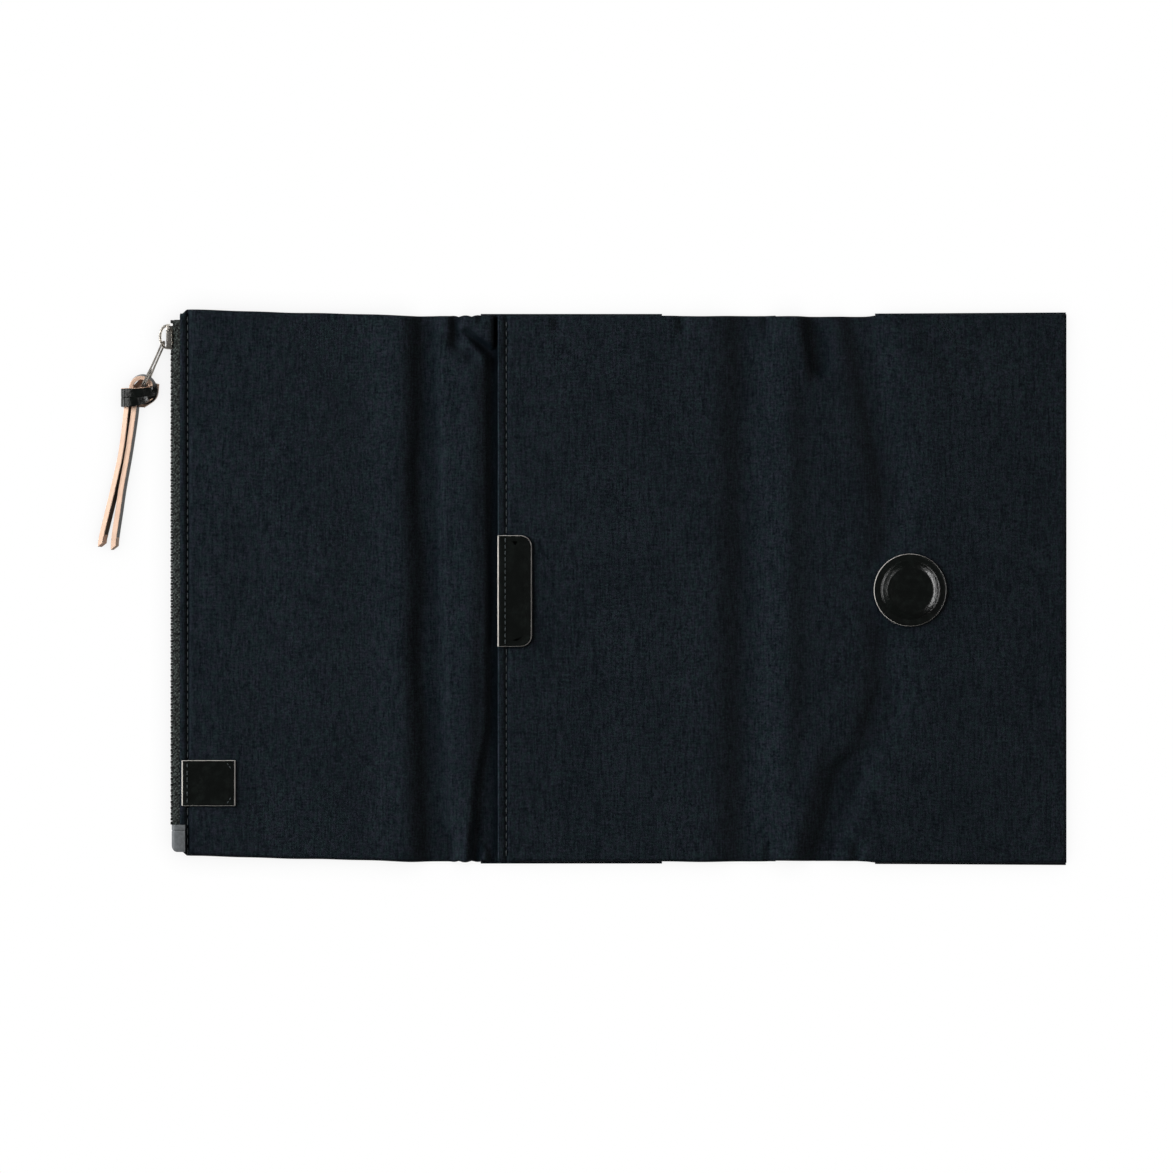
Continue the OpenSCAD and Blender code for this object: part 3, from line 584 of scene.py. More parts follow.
# Folds and ridges of the outer cloth, each drawn from its upper end (x0, y0) to its lower end (x1, y1),
# with its half width on the left and on the right, its height and the length over which its ends
# fade, all in millimetres.
FOLDS = (
    # the crease between the pouch and the gusset: a gentle fall and a steep rise
    (-75.2, 118, -74.4, 40, 6.0, 3.3, -3.8, 14),
    (-74.8, 46, -73.2, -30, 6.4, 3.6, -3.5, 14),
    (-73.6, -24, -71.0, -118, 6.6, 3.8, -4.0, 14),
    (-84.5, 116, -82.5, -116, 12.0, 5.5, 2.3, 14),
    # the gusset's soft ridge, and its shoulder at the pocket's mouth
    (-62.0, 84, -61.0, -92, 6.0, 6.0, 0.5, 14),
    (-56.2, 84, -58.5, -92, 5.0, 3.0, 0.9, 8),
    # puckers at the top of the gusset
    (-64.6, 118, -64.2, 101, 1.6, 2.8, -2.9, 4),
    (-59.6, 101.8, -49.5, 94.8, 2.2, 1.5, -3.0, 2.5),
    (-61.5, 103.4, -53.0, 91.4, 1.8, 2.2, 1.5, 3),
    (-57.0, 110.0, -51.0, 102.0, 4.0, 4.0, 1.0, 3),
    (-66.0, 98.5, -58.5, 93.0, 2.0, 2.0, -1.2, 3),
    (-54.0, 118, -54.4, 109, 1.2, 1.6, -1.6, 3),
    # gathers at the bottom of the gusset
    (-66.6, -102, -67.0, -118, 2.0, 2.6, -2.4, 5),
    (-59.4, -100, -60.0, -116, 1.9, 1.9, 1.3, 5),
    (-55.6, -98, -56.4, -118, 2.2, 2.4, -2.6, 5),
    # spine
    (51.5, 118, 51.0, -118, 7.0, 10.5, -2.5, 14),
    (68.6, 118, 68.4, -118, 8.0, 5.0, 1.7, 14),
    (40.0, 118, 38.0, -118, 10.0, 8.0, 0.7, 14),
    (77.0, 114, 80.4, 90, 2.2, 5.0, -3.6, 4),
    (72.4, 110, 75.6, 88, 3.2, 1.8, 1.5, 5),
    (97.0, 106, 108.5, 40, 6.0, 10.0, -3.1, 10),
    (108.0, 20, 106.5, -50, 6.0, 9.0, -2.0, 12),
    (106.0, -48, 91.0, -80, 5.0, 7.0, -2.3, 8),
    (91.0, -74, 79.5, -116, 4.0, 6.5, -3.7, 6),
    (79.0, -70, 70.0, -114, 5.0, 3.6, 1.6, 8),
    # short puckers along the top and bottom hems
    (-24.4, 118, -24.0, 106, 1.2, 2.0, -1.5, 3),
    (25.6, 118, 26.0, 105, 1.4, 2.2, -1.5, 4),
    (59.6, 118, 59.8, 105, 1.4, 2.2, -1.7, 4),
    (95.6, 118, 96.0, 106, 1.4, 2.2, -1.7, 4),
    (61.0, -104, 61.6, -118, 1.6, 2.2, -1.8, 4),
    (95.8, -105, 95.6, -118, 1.6, 2.2, -1.7, 4),
    (122.0, 104, 136.0, 84, 2.6, 3.4, -0.6, 6),
    (134.0, 104, 144.0, 90, 2.2, 3.0, -0.5, 6),
    (-148.0, 30, -140.0, -84, 9.0, 12.0, -0.5, 14),
    (-120.0, 60, -112.0, -60, 12.0, 12.0, 0.5, 16),
)


def fold_height(x, y):
    """Height that the folds add at each point. Each is a smooth ridge or valley along its line."""
    total = np.zeros_like(x)
    for x0, y0, x1, y1, left_width, right_width, height, fade in FOLDS:
        run = math.hypot(x1 - x0, y1 - y0)
        ux, uy = (x1 - x0) / run, (y1 - y0) / run
        along = (x - x0) * ux + (y - y0) * uy
        aside = (y - y0) * ux - (x - x0) * uy
        half_width = np.where(aside > 0, right_width, left_width)
        past = np.maximum(0, np.maximum(-along, along - run))
        total += height * np.exp(-((aside / half_width) ** 2)) * np.exp(-((past / fade) ** 2))
    return total


def drift(x, y):
    """Slow unevenness of soft cloth, from a few crossed waves."""
    slow = 0.09 * np.sin(0.061 * x + 0.9 + 0.7 * np.sin(0.033 * y))
    slow += 0.08 * np.sin(0.052 * y - 0.4 + 0.9 * np.sin(0.041 * x))
    fine = 0.035 * np.sin(0.23 * x + 0.19 * y + 1.1) + 0.03 * np.sin(0.31 * y - 0.17 * x)
    return slow + fine


def flap_top(x):
    """Height of the pouch's cloth over the table."""
    share = np.clip((CREASES["flap"] - x) / (CREASES["flap"] - FLAP_EDGE), 0, 1)
    return CLOTH_TOP + (ZIP_END_H - CLOTH_TOP) * share


def level_at(height):
    """A flat surface, as a function of x and y."""
    return lambda x, y: height


def on_pouch(lift):
    """The pouch's cloth with a piece lifted off it, as a function of x and y."""
    return lambda x, y: float(flap_top(x)) + lift


def smooth_step(value, start, end):
    """0 before start, 1 past end, smooth between."""
    t = np.clip((value - start) / (end - start), 0, 1)
    return t * t * (3 - 2 * t)


def groove(distance, depth, half_width):
    """A sewn line's furrow."""
    return -depth * np.exp(-((distance / half_width) ** 2))


def sewn_ripple(x, y, line_x, reach, height):
    """Small puffs between the stitches beside a sewn line."""
    beat = 2 * math.pi / (settings().cloth.stitch_length / MM)
    return height * np.sin(beat * y) * np.exp(-(((x - line_x) / reach) ** 2))


def hem_waves(x):
    """Small waves of a long hem."""
    return 0.18 * np.sin(0.11 * x + 0.6) + 0.12 * np.sin(0.27 * x + 2.0)


def grid_rows(low_y, high_y, step, radius):
    """Rows from the bottom to the top hem: distance from each hem and how full the cloth is there."""
    turns = np.radians([90, 72, 54, 38, 24, 12, 0])
    edge = radius * (1 - np.sin(turns))
    full = np.cos(turns)
    inner = spread(radius, high_y - low_y - radius, step)[1:-1]
    offsets = np.concatenate([edge, inner, (high_y - low_y - edge)[::-1]])
    fullness = np.concatenate([full, np.ones(len(inner)), full[::-1]])
    return offsets / (high_y - low_y), fullness


# A straight cut end, in the form that round_end gives
CUT_END = ((0.0, 1.0), (0.0, 0.0))


def round_end(radius, outward):
    """A half-round end: steps along x and shares of the height, from the top to the bottom."""
    turns = np.radians(np.linspace(0, 180, 9))
    return tuple((outward * radius * math.sin(t), 0.5 + 0.5 * math.cos(t)) for t in turns)


def columns_at_seam(seam_x):
    """Columns of points close to a sewn line, so that its furrow is crisp."""
    return [seam_x + offset for offset in (-1.2, -0.6, -0.3, 0, 0.3, 0.6, 1.2)]


def slab(name, columns, hems, top, bottom, ends, finishes, radius=None, step=None):
    """A closed piece of padded cloth.
    columns are x values; hems are two functions of x; top and bottom give heights from x and y.
    ends gives each end's profile as (step along x, share of the height) from the top to the bottom.
    finishes are the outer cloth, the lining and, where there are three, the cloth of the left end."""
    thinnest, lining_inset = 0.6, 3.0
    radius = radius or settings().cloth.hem_round / MM
    step = step or settings().cloth.grid / MM
    low_hem, high_hem = hems
    middle = columns[len(columns) // 2]
    share, full = grid_rows(low_hem(middle), high_hem(middle), step, radius)
    x = np.repeat(columns[:, None], len(share), axis=1)
    y = low_hem(x) + (high_hem(x) - low_hem(x)) * share[None, :]
    z_bottom = bottom(x, y)
    z_top = np.maximum(top(x, y), z_bottom + thinnest)
    z_mid = (z_top + z_bottom) / 2
    upper = z_mid + (z_top - z_mid) * full
    lower = z_mid + (z_bottom - z_mid) * full
    rows, count = len(share), len(columns)
    points = [np.stack([x, y, upper], -1).reshape(-1, 3)]
    top_index = np.arange(count * rows).reshape(count, rows)
    bottom_index = top_index + count * rows
    bottom_index[:, 0], bottom_index[:, -1] = top_index[:, 0], top_index[:, -1]
    points.append(np.stack([x, y, lower], -1).reshape(-1, 3))
    faces, kinds = [], []
    inset_x = (columns[0] + lining_inset, columns[-1] - lining_inset)
    soft_low, soft_high = len(ends[0]) > 2, len(ends[1]) > 2
    for i in range(count - 1):
        edge_column = (soft_low and columns[i] < inset_x[0]) or (soft_high and columns[i] > inset_x[1])
        for j in range(rows - 1):
            this, after = top_index[i], top_index[i + 1]
            faces.append((this[j], after[j], after[j + 1], this[j + 1]))
            kinds.append(0)
            this, after = bottom_index[i], bottom_index[i + 1]
            faces.append((this[j], this[j + 1], after[j + 1], after[j]))
            edge_row = min(y[i, j] - y[i, 0], y[i, -1] - y[i, j]) < lining_inset
            kinds.append(0 if edge_column or edge_row else 1)
    total = 2 * count * rows
    walls, wall_kinds = [], []
    for at, (profile, sign) in enumerate(zip(ends, (1, -1))):
        i = 0 if at == 0 else count - 1
        ring = [top_index[i]]
        for dx, height in profile[1:-1]:
            extra = np.arange(rows) + total
            level = lower[i] + (upper[i] - lower[i]) * height
            points.append(np.stack([x[i] + dx, y[i], level], -1))
            extra[0], extra[-1] = top_index[i, 0], top_index[i, -1]
            total += rows
            ring.append(extra)
        ring.append(bottom_index[i])
        for k in range(len(ring) - 1):
            for j in range(rows - 1):
                quad = (ring[k][j], ring[k][j + 1], ring[k + 1][j + 1], ring[k + 1][j])
                walls.append(quad if sign > 0 else quad[::-1])
                wall_kinds.append(2 if at == 0 and len(finishes) > 2 else 0)
    faces, kinds = without_slivers(faces + walls, kinds + wall_kinds)
    places = np.concatenate(points)
    used = sorted({c for face in faces for c in face})
    renumber = np.zeros(len(places), int)
    renumber[used] = np.arange(len(used))
    faces = [[renumber[c] for c in face] for face in faces]
    piece = make_piece(name, places[used], faces, finishes, kinds)
    sharpen(piece, 62)
    return piece


def bend_at(piece):
    """Bakes a piece's placement into its mesh."""
    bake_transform(piece)


def hem_shift(x):
    """How far the pouch's hems are moved up at x, because its cloth runs at a slant."""
    return FLAP_RISE * np.clip((CREASES["flap"] - x) / (CREASES["flap"] - FLAP_EDGE), 0, 1)


def flap_hem(sign):
    """Hem of the pouch and of half the gusset, with the cut corner at the zip."""
    cut, cut_run = 2.5, 2.6  # how far the corner is cut off in y and in x

    def hem(x):
        corner = cut * np.clip(1 - (x - FLAP_EDGE) / cut_run, 0, 1)
        return sign * (HALF_H - corner) + hem_shift(x) + 0.5 * hem_waves(x)

    return hem


def gusset_hem(sign):
    """Hem of the gathered half of the gusset, with scallops between its puckers."""
    height, beat = 0.55, 0.62

    def hem(x):
        near = smooth_step(x, GUSSET_MIDDLE, GUSSET_MIDDLE + 4) * (1 - smooth_step(x, -50, -46))
        scallop = height * np.abs(np.sin(beat * (x + 2.0))) * near
        return sign * (HALF_H + scallop - 0.3 * near) + 0.5 * hem_waves(x)

    return hem


def back_hem(sign):
    """Hem of the back cover with its small waves."""

    def hem(x):
        return sign * HALF_H + 0.5 * hem_waves(x)

    return hem


def front_hem(sign):
    """Hem of the front cover, which grows a little where the sleeve starts and has round corners."""
    corner = 1.6
    drawn_in = 0.25  # how far the soft part is drawn in, short of the sleeve

    def hem(x):
        grow = FRONT_RISE * smooth_step(x, 95, 112) + drawn_in * smooth_step(x, 100, 104)
        turned = np.clip((x - (FRONT_EDGE - corner)) / corner, 0, 1)
        cut = corner * (1 - np.sqrt(1 - turned**2))
        return sign * (HALF_H + grow - cut - drawn_in) + 0.5 * hem_waves(x)

    return hem


def pouch_piece():
    """The zip pouch and the half of the gusset beside it."""
    least_height = 1.5
    start = FLAP_EDGE + 0.9
    grid = settings().cloth.grid / MM
    columns = spread(start, GUSSET_MIDDLE, grid, columns_at_seam(ZIP_SEAM_X))
    # the zip's side: a rolled edge on the upper and on the lower cloth, with the zip between them
    rolled = ((-0.7, 0.985), (-0.9, 0.955), (-0.7, 0.925), (0.0, 0.91), (0.7, 0.88))
    foot = tuple((dx, 1 - share) for dx, share in rolled[::-1])
    left = ((0.0, 1.0), *rolled, *foot, (0.0, 0.0))

    def top(x, y):
        z = flap_top(x) + drift(x, y) + np.maximum(fold_height(x, y), least_height - flap_top(x))
        z += groove(x - ZIP_SEAM_X, 1.1, 0.65) + sewn_ripple(x, y, ZIP_SEAM_X, 1.0, 0.22)
        return z

    def bottom(x, y):
        return FLAP_FLOOR * (1 - smooth_step(x, CREASES["flap"] - 4, CREASES["flap"] + 4))

    piece = slab(
        "pouch",
        columns,
        (flap_hem(-1), flap_hem(1)),
        top,
        bottom,
        (left, CUT_END),
        ("navy_cloth", "navy_inside"),
    )
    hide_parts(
        "flap_outer_panel",
        "flap_inner_panel",
        "pouch_lining_back",
        "pouch_lining_front",
        "pouch_seam",
    )
    bend_at(piece)


def gusset_piece():
    """The gathered half of the gusset and the strip of back cover under the pocket's mouth."""
    end = MOUTH_X + 9
    step = 0.5 * settings().cloth.grid / MM
    columns = spread(GUSSET_MIDDLE, end, step)
    under_pocket, least_height = 1.4, 1.35

    def top(x, y):
        # the cloth dips under the pocket's mouth: sooner low down, and later at the upper puckers
        lower = smooth_step(-y, 50, 88) * (1 - smooth_step(-y, 96, 106))
        upper = smooth_step(y, 91, 98)
        dip_start = -53.0 - 5.0 * lower + 3.4 * upper
        dip_end = -49.6 - 5.0 * lower + 1.4 * upper
        dip = smooth_step(x, dip_start, dip_end)
        base = CLOTH_TOP * (1 - dip) + under_pocket * dip
        folded = fold_height(x, y) * (1 - smooth_step(x, -52, -47))
        return np.maximum(base + folded + 0.5 * drift(x, y) * (1 - dip), least_height)

    def bottom(x, y):
        return SLEEVE_TOP * smooth_step(x, CREASES["gusset"] - 2.5, CREASES["gusset"] + 0.4)

    piece = slab(
        "gusset_gather",
        columns,
        (gusset_hem(-1), gusset_hem(1)),
        top,
        bottom,
        (CUT_END, CUT_END),
        ("navy_cloth", "black_lining"),
        step=step,
    )
    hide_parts("gusset_outer", "gusset_padding", "gusset_lining", "back_shell")
    bend_at(piece)


def back_piece():
    """The slip pocket, the back cover behind it and half of the spine."""
    hem_r = 0.5
    grid = settings().cloth.grid / MM
    columns = spread(MOUTH_X + hem_r, SPINE_MIDDLE, grid, columns_at_seam(MOUTH_SEAM_X))

    def top(x, y):
        fade = smooth_step(x, MOUTH_X, MOUTH_X + 3)
        z = CLOTH_TOP + (drift(x, y) + fold_height(x, y)) * fade
        z += groove(x - MOUTH_SEAM_X, 1.0, 0.6) + sewn_ripple(x, y, MOUTH_SEAM_X, 1.0, 0.22)
        return z

    def bottom(x, y):
        # the pocket's layer alone at the mouth, and the whole cover further in
        under = smooth_step(x, MOUTH_X + 6, MOUTH_X + 9)
        base = POCKET_FLOOR * (1 - under) + SLEEVE_TOP * under + groove(x - MOUTH_SEAM_X, 0.9, 1.0)
        return base * (1 - smooth_step(x, CREASES["spine"] - 2, CREASES["spine"] + 2))

    piece = slab(
        "back_pocket",
        columns,
        (back_hem(-1), back_hem(1)),
        top,
        bottom,
        (round_end(hem_r, -1), CUT_END),
        # the rounded mouth end takes the lighter cloth: a painted highlight along the fold
        ("navy_cloth", "black_lining", "highlit_fold"),
    )
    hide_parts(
        "slip_pocket",
        "pocket_hem",
        "back_board",
        "back_lining",
        "spine_outer",
        "spine_padding",
        "spine_lining",
    )
    bend_at(piece)


def front_piece():
    """Half of the spine and the padded front cover."""
    radius = settings().cloth.hem_round / MM
    columns = spread(SPINE_MIDDLE, FRONT_EDGE - radius, settings().cloth.grid / MM)

    def top(x, y):
        # flat under the button, whose rim is 14.5 mm from its middle
        away = np.hypot(x - BUTTON_AT[0], y - BUTTON_AT[1])
        calm = smooth_step(away, 13, 19)
        return CLOTH_TOP + (drift(x, y) + fold_height(x, y)) * calm

    def bottom(x, y):
        return SLEEVE_TOP * smooth_step(x, CREASES["front"] - 2, CREASES["front"] + 2)

    piece = slab(
        "front_cover",
        columns,
        (front_hem(-1), front_hem(1)),
        top,
        bottom,
        (CUT_END, round_end(radius, 1)),
        ("navy_cloth", "black_lining"),
    )
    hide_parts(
        "front_outer",
        "front_padding",
        "front_board",
        "front_lining",
        "button_washer",
        "button_magnet",
    )
    bend_at(piece)


def sleeve_seam_x(node, mouth_on_left):
    """Where the sewn line of a sleeve's mouth lies."""
    return low(node)[0] + SLEEVE_SEAM if mouth_on_left else high(node)[0] - SLEEVE_SEAM


def sleeve_piece(name, node, body, mouth_on_left):
    """An inner sleeve: a flat sheet of cloth with a turned hem at its mouth."""
    lowest, highest = low(node), high(node)
    cloth_t, edge_r, step = 0.5, 0.25, 2.6
    seam_x = sleeve_seam_x(node, mouth_on_left)
    columns = spread(lowest[0] + edge_r, highest[0] - edge_r, step, columns_at_seam(seam_x))
    flare = FRONT_RISE if node == "front_sleeve" else 0.0

    def hem(sign):
        def at(x):
            grow = flare * (x - CREASES["front"]) / (FRONT_EDGE - CREASES["front"])
            return sign * (highest[1] - flare + grow)

        return at

    def top(x, y):
        return cloth_t + 0 * x

    def bottom(x, y):
        # the sleeve lifts a little off the table between its edges
        sag = 0.12 + 0.08 * np.sin(0.07 * x + 0.4) * np.sin(0.05 * y + 1.0)
        edge = np.minimum(y - hem(-1)(x), hem(1)(x) - y)
        return np.clip(sag * smooth_step(edge, 0, 12) - groove(x - seam_x, 0.15, 0.5), 0, 0.3)

    piece = slab(
        name,
        columns,
        (hem(-1), hem(1)),
        top,
        bottom,
        (round_end(edge_r, -1), round_end(edge_r, 1)),
        ("navy_inside", "navy_inside"),
        radius=edge_r,
        step=step,
    )
    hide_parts(node)
    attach(piece, body)


class COVER_OT_cloth(bpy.types.Operator):
    """Build the outer cloth, the gathered gusset and the inner sleeves"""

    bl_idname = "notebook_cover.cloth"
    bl_label = "Cloth"

    def execute(self, context):
        pouch_piece()
        gusset_piece()
        back_piece()
        front_piece()
        sleeve_piece("sleeve_back", "back_sleeve", "back_cover", False)
        sleeve_piece("sleeve_front", "front_sleeve", "front_cover", True)
        return {"FINISHED"}


# Leather ---------------------------------------------------------------------------------------

BLACK_AND_RAW = ("black_leather", "raw_edge")
LABEL_THICKNESS = 0.9


def corner_arc(x, y, radius, start, steps):
    """Points of a quarter circle about x, y from the start angle in degrees."""
    turns = np.radians(np.linspace(start, start + 90, steps))
    return [(x + radius * math.cos(t), y + radius * math.sin(t)) for t in turns]


def rounded_outline(corners, radii, inset, gain, steps=9):
    """A rectangle's outline, drawn in by inset. radii are for its left and its right corners, and
    gain says how many times further its left and its right side are drawn in."""
    x0, y0, x1, y1 = corners
    x0, y0, x1, y1 = x0 + gain[0] * inset, y0 + inset, x1 - gain[1] * inset, y1 - inset
    left, right = (max(r - inset, 0.05) for r in radii)
    points = corner_arc(x1 - right, y0 + right, right, 270, steps)
    points += corner_arc(x1 - right, y1 - right, right, 0, steps)
    points += corner_arc(x0 + left, y1 - left, left, 90, steps)
    points += corner_arc(x0 + left, y0 + left, left, 180, steps)
    return points


def ringed(name, rings, kinds, finishes):
    """A closed solid from rings of points, each ring one level, capped at both ends.
    kinds gives the finish of each band between two rings; the caps take the first and the last."""
    sides = len(rings[0])
    faces = [tuple(reversed(range(sides)))]
    finish = [kinds[0]]
    for level in range(len(rings) - 1):
        a, b = level * sides, (level + 1) * sides
        for k in range(sides):
            after = (k + 1) % sides
            faces.append((a + k, a + after, b + after, b + k))
            finish.append(kinds[level])
    last = (len(rings) - 1) * sides
    faces.append(tuple(range(last, last + sides)))
    finish.append(kinds[-1])
    return make_piece(name, [p for ring in rings for p in ring], faces, finishes, finish)


def leather_plate(name, corners, radii, thickness, ground, gain):
    """A flat leather piece on ground, with a slanted raw edge and a slightly crowned, rolled top."""
    edge = settings().leather.edge / MM
    # how far in from the outline, and how high
    levels = (
        (0.0, 0.0),
        (0.0, 0.6 * thickness),
        (0.15 * edge, 0.8 * thickness),
        (edge, thickness - 0.02),
        (edge + 0.08, thickness),
        (edge + 0.5, thickness + 0.05),
        (edge + 1.2, thickness - 0.03),
        (edge + 2.2, thickness - 0.04),
        (edge + 4.0, thickness + 0.03),
    )
    rings = []
    for inset, level in levels:
        outline = rounded_outline(corners, radii, inset, gain)
        rings.append([(x, y, ground(x, y) + level) for x, y in outline])
    piece = ringed(name, rings, (1, 1, 1, 0, 0, 0, 0, 0), BLACK_AND_RAW)
    sharpen(piece, 50)
    return piece


def revolved(name, centre, profile, kinds, sides=128):
    """A solid of revolution about the vertical through centre, from (radius, height) points."""
    turns = np.linspace(0, 2 * math.pi, sides, endpoint=False)
    x, y = centre[0], centre[1]
    rings = []
    for radius, height in profile:
        rings.append([(x + radius * math.cos(t), y + radius * math.sin(t), height) for t in turns])
    return ringed(name, rings, kinds, BLACK_AND_RAW)


def button_piece():
    """The leather-covered button: a flat rim with a raw edge, a sloping wall and a dished top."""
    base, top = low("button_cover")[2], high("button_cover")[2]
    rim = base + 1.2
    radius = high("button_cover")[0] - BUTTON_AT[0]
    edge = settings().leather.edge / MM
    profile = [
        # the flat rim and its raw edge
        (radius - 0.05, base),
        (radius, base + 0.25),
        (radius, rim - 0.45),
        (radius - edge, rim - 0.04),
        (radius - edge - 0.15, rim + 0.02),
        (radius - 1.3, rim + 0.02),
        (radius - 2.4, rim - 0.04),
        # a steep foot
        (11.8, rim - 0.04),
        (11.62, rim + 0.06),
        (11.48, rim + 0.45),
        (11.38, top - 1.4),
        # a gentle shoulder
        (11.24, top - 1.16),
        (10.95, top - 0.97),
        (10.4, top - 0.68),
        (9.8, top - 0.38),
        (9.4, top - 0.2),
        (9.05, top - 0.09),
        # a rolled edge round the dished top
        (8.7, top - 0.03),
        (8.3, top - 0.05),
        (7.7, top - 0.12),
        (6.9, top - 0.17),
        (5.0, top - 0.18),
        (2.5, top - 0.18),
    ]
    kinds = [1, 1, 1] + [0] * (len(profile) - 4)
    piece = revolved("button", BUTTON_AT, profile, kinds)
    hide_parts("button_cover")
    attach(piece, "front_cover")


def disc_piece():
    """The flat leather disc on the flap's inner side."""
    lowest, highest = low("flap_magnet_cover"), high("flap_magnet_cover")
    centre = (lowest + highest) / 2
    radius = highest[0] - centre[0]
    edge = settings().leather.edge / MM
    face = lowest[2]
    profile = [
        (radius, highest[2]),
        (radius, face + 0.5),
        (radius - 0.4 * edge, face + 0.2),
        (radius - edge, face + 0.04),
        (radius - edge - 0.1, face),
        (radius - 1.4, face),
        (radius - 2.0, face + 0.1),
        (radius - 2.6, face),
        (7.0, face),
        (3.0, face + 0.05),
    ]
    kinds = [1, 1, 1] + [0] * (len(profile) - 4)
    piece = revolved("flap_disc", centre, profile, kinds)
    piece.data.flip_normals()
    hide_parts("flap_magnet_cover", "flap_magnet")
    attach(piece, "flap")


def tab_piece():
    """The leather tab on the pocket's mouth: square at the mouth, rounded on the cover."""
    lowest, highest = low("pocket_tab"), high("pocket_tab")
    corners = (lowest[0] - 0.1, lowest[1], highest[0], highest[1])
    thickness = highest[2] - lowest[2]
    ground = level_at(lowest[2])
    piece = leather_plate("pocket_label", corners, (0.3, 4.5), thickness, ground, (2.4, 1.5))
    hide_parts("pocket_tab")
    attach(piece, "back_cover")


def label_piece():
    """The square leather label on the pouch."""
    lowest, highest = low("square_label"), high("square_label")
    corners = (lowest[0], lowest[1], highest[0], highest[1])
    ground = on_pouch(-0.02)
    piece = leather_plate("pouch_label", corners, (0.3, 0.3), LABEL_THICKNESS, ground, (2.3, 2.2))
    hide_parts("square_label")
    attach(piece, "flap")


class COVER_OT_leather(bpy.types.Operator):
    """Build the button, the disc that meets it and the two leather labels"""

    bl_idname = "notebook_cover.leather"
    bl_label = "Leather"

    def execute(self, context):
        button_piece()
        disc_piece()
        tab_piece()
        label_piece()
        return {"FINISHED"}


# Stitches --------------------------------------------------------------------------------------


def stitch_mesh(starts, ends, lift, thickness, up=1):
    """Points and faces of stitches: each a short bowed thread from a start to an end. up is 1 on a
    surface that faces up and -1 on one that faces down."""
    sides, rings = 6, 6
    points, faces = [], []
    for start, end in zip(starts, ends):
        start, end = np.array(start, float), np.array(end, float)
        along = (end - start) / np.linalg.norm(end - start)
        side = np.cross(along, (0, 0, 1))
        side /= np.linalg.norm(side)
        first = len(points)
        for k in range(rings):
            share = k / (rings - 1)
            bow = math.sin(math.pi * share)
            centre = start + (end - start) * share + np.array((0, 0, up * lift * (1.6 * bow - 0.6)))
            radius = thickness / 2 * (0.55 + 0.45 * bow)
            for m in range(sides):
                turn = 2 * math.pi * m / sides
                offset = side * math.cos(turn) + np.array((0, 0, 1)) * math.sin(turn)
                points.append(centre + radius * offset)
        faces.append(tuple(first + m for m in range(sides)))
        for k in range(rings - 1):
            for m in range(sides):
                after = (m + 1) % sides
                a, b = first + k * sides, first + (k + 1) * sides
                faces.append((a + m, b + m, b + after, a + after))
        last = first + (rings - 1) * sides
        faces.append(tuple(last + m for m in reversed(range(sides))))
    return points, faces


def stitch_line(name, body, line_start, line_end, height, up=1, pitch=None):
    """A straight row of stitches on a surface whose height is a function of x and y."""
    cloth = settings().cloth
    pitch = pitch or cloth.stitch_length / MM
    thickness = cloth.stitch_thread / MM
    start, end = np.array(line_start, float), np.array(line_end, float)
    count = max(1, int(np.linalg.norm(end - start) / pitch))
    step = (end - start) / count
    gap = 0.14  # share of the pitch that is free before and after each stitch
    starts, ends = [], []
    for k in range(count):
        a, b = start + step * (k + gap), start + step * (k + (1 - gap))
        starts.append((a[0], a[1], height(a[0], a[1])))
        ends.append((b[0], b[1], height(b[0], b[1])))
    points, faces = stitch_mesh(starts, ends, 0.5 * thickness, thickness, up)
    piece = make_piece(name, points, faces, ("sewing_thread",))
    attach(piece, body)


def sew_zip_side():
    """The line beside the zip, above and below the square label and along the pouch's lower side."""
    end_gap, label_gap = 2.5, 0.4
    x = ZIP_SEAM_X
    top, bottom = high("flap_inner_panel")[1] - end_gap, low("flap_inner_panel")[1] + end_gap
    above, below = high("square_label")[1] + label_gap, low("square_label")[1] - label_gap
    in_furrow, underneath = on_pouch(-0.7), level_at(FLAP_FLOOR + 0.05)
    stitch_line("zip_stitches_upper", "flap", (x, top), (x, above), in_furrow)
    stitch_line("zip_stitches_lower", "flap", (x, below), (x, bottom), in_furrow)
    stitch_line("zip_stitches_under", "flap", (x, top), (x, bottom), underneath, -1)


def sew_mouth():
    """The line along the pocket's mouth, above and below the leather tab."""
    end_gap, tab_gap = 2, 0.4
    x = MOUTH_SEAM_X
    above, below = high("pocket_tab")[1] + tab_gap, low("pocket_tab")[1] - tab_gap
    in_furrow = level_at(CLOTH_TOP - 0.6)
    stitch_line("mouth_stitches_upper", "back_cover", (x, HALF_H - end_gap), (x, above), in_furrow)
    stitch_line("mouth_stitches_lower", "back_cover", (x, below), (x, end_gap - HALF_H), in_furrow)


def sew_labels():
    """The lines that hold the leather tab and the square label, and the label's corner tacks."""
    end_gap, pitch, tack_pitch = 0.7, 2.4, 1.5
    lowest, highest = low("pocket_tab"), high("pocket_tab")
    x, top, bottom = lowest[0] + 3.0, highest[1] - end_gap, lowest[1] + end_gap
    on_tab = level_at(highest[2] - 0.02)
    stitch_line("label_stitches", "back_cover", (x, top), (x, bottom), on_tab, 1, pitch)
    lowest, highest = low("square_label"), high("square_label")
    x, top, bottom = lowest[0] + 2.3, highest[1] - end_gap, lowest[1] + end_gap
    on_label = on_pouch(LABEL_THICKNESS - 0.04)
    stitch_line("pouch_label_stitches", "flap", (x, top), (x, bottom), on_label, 1, pitch)
    for index, (corner_y, turn) in enumerate(((highest[1], -1), (lowest[1], 1))):
        start = (highest[0] - 3.4, corner_y + turn * 0.9)
        end = (highest[0] - 1.7, corner_y + turn * 3.4)
        stitch_line(f"label_tack_{index}", "flap", start, end, on_label, 1, tack_pitch)


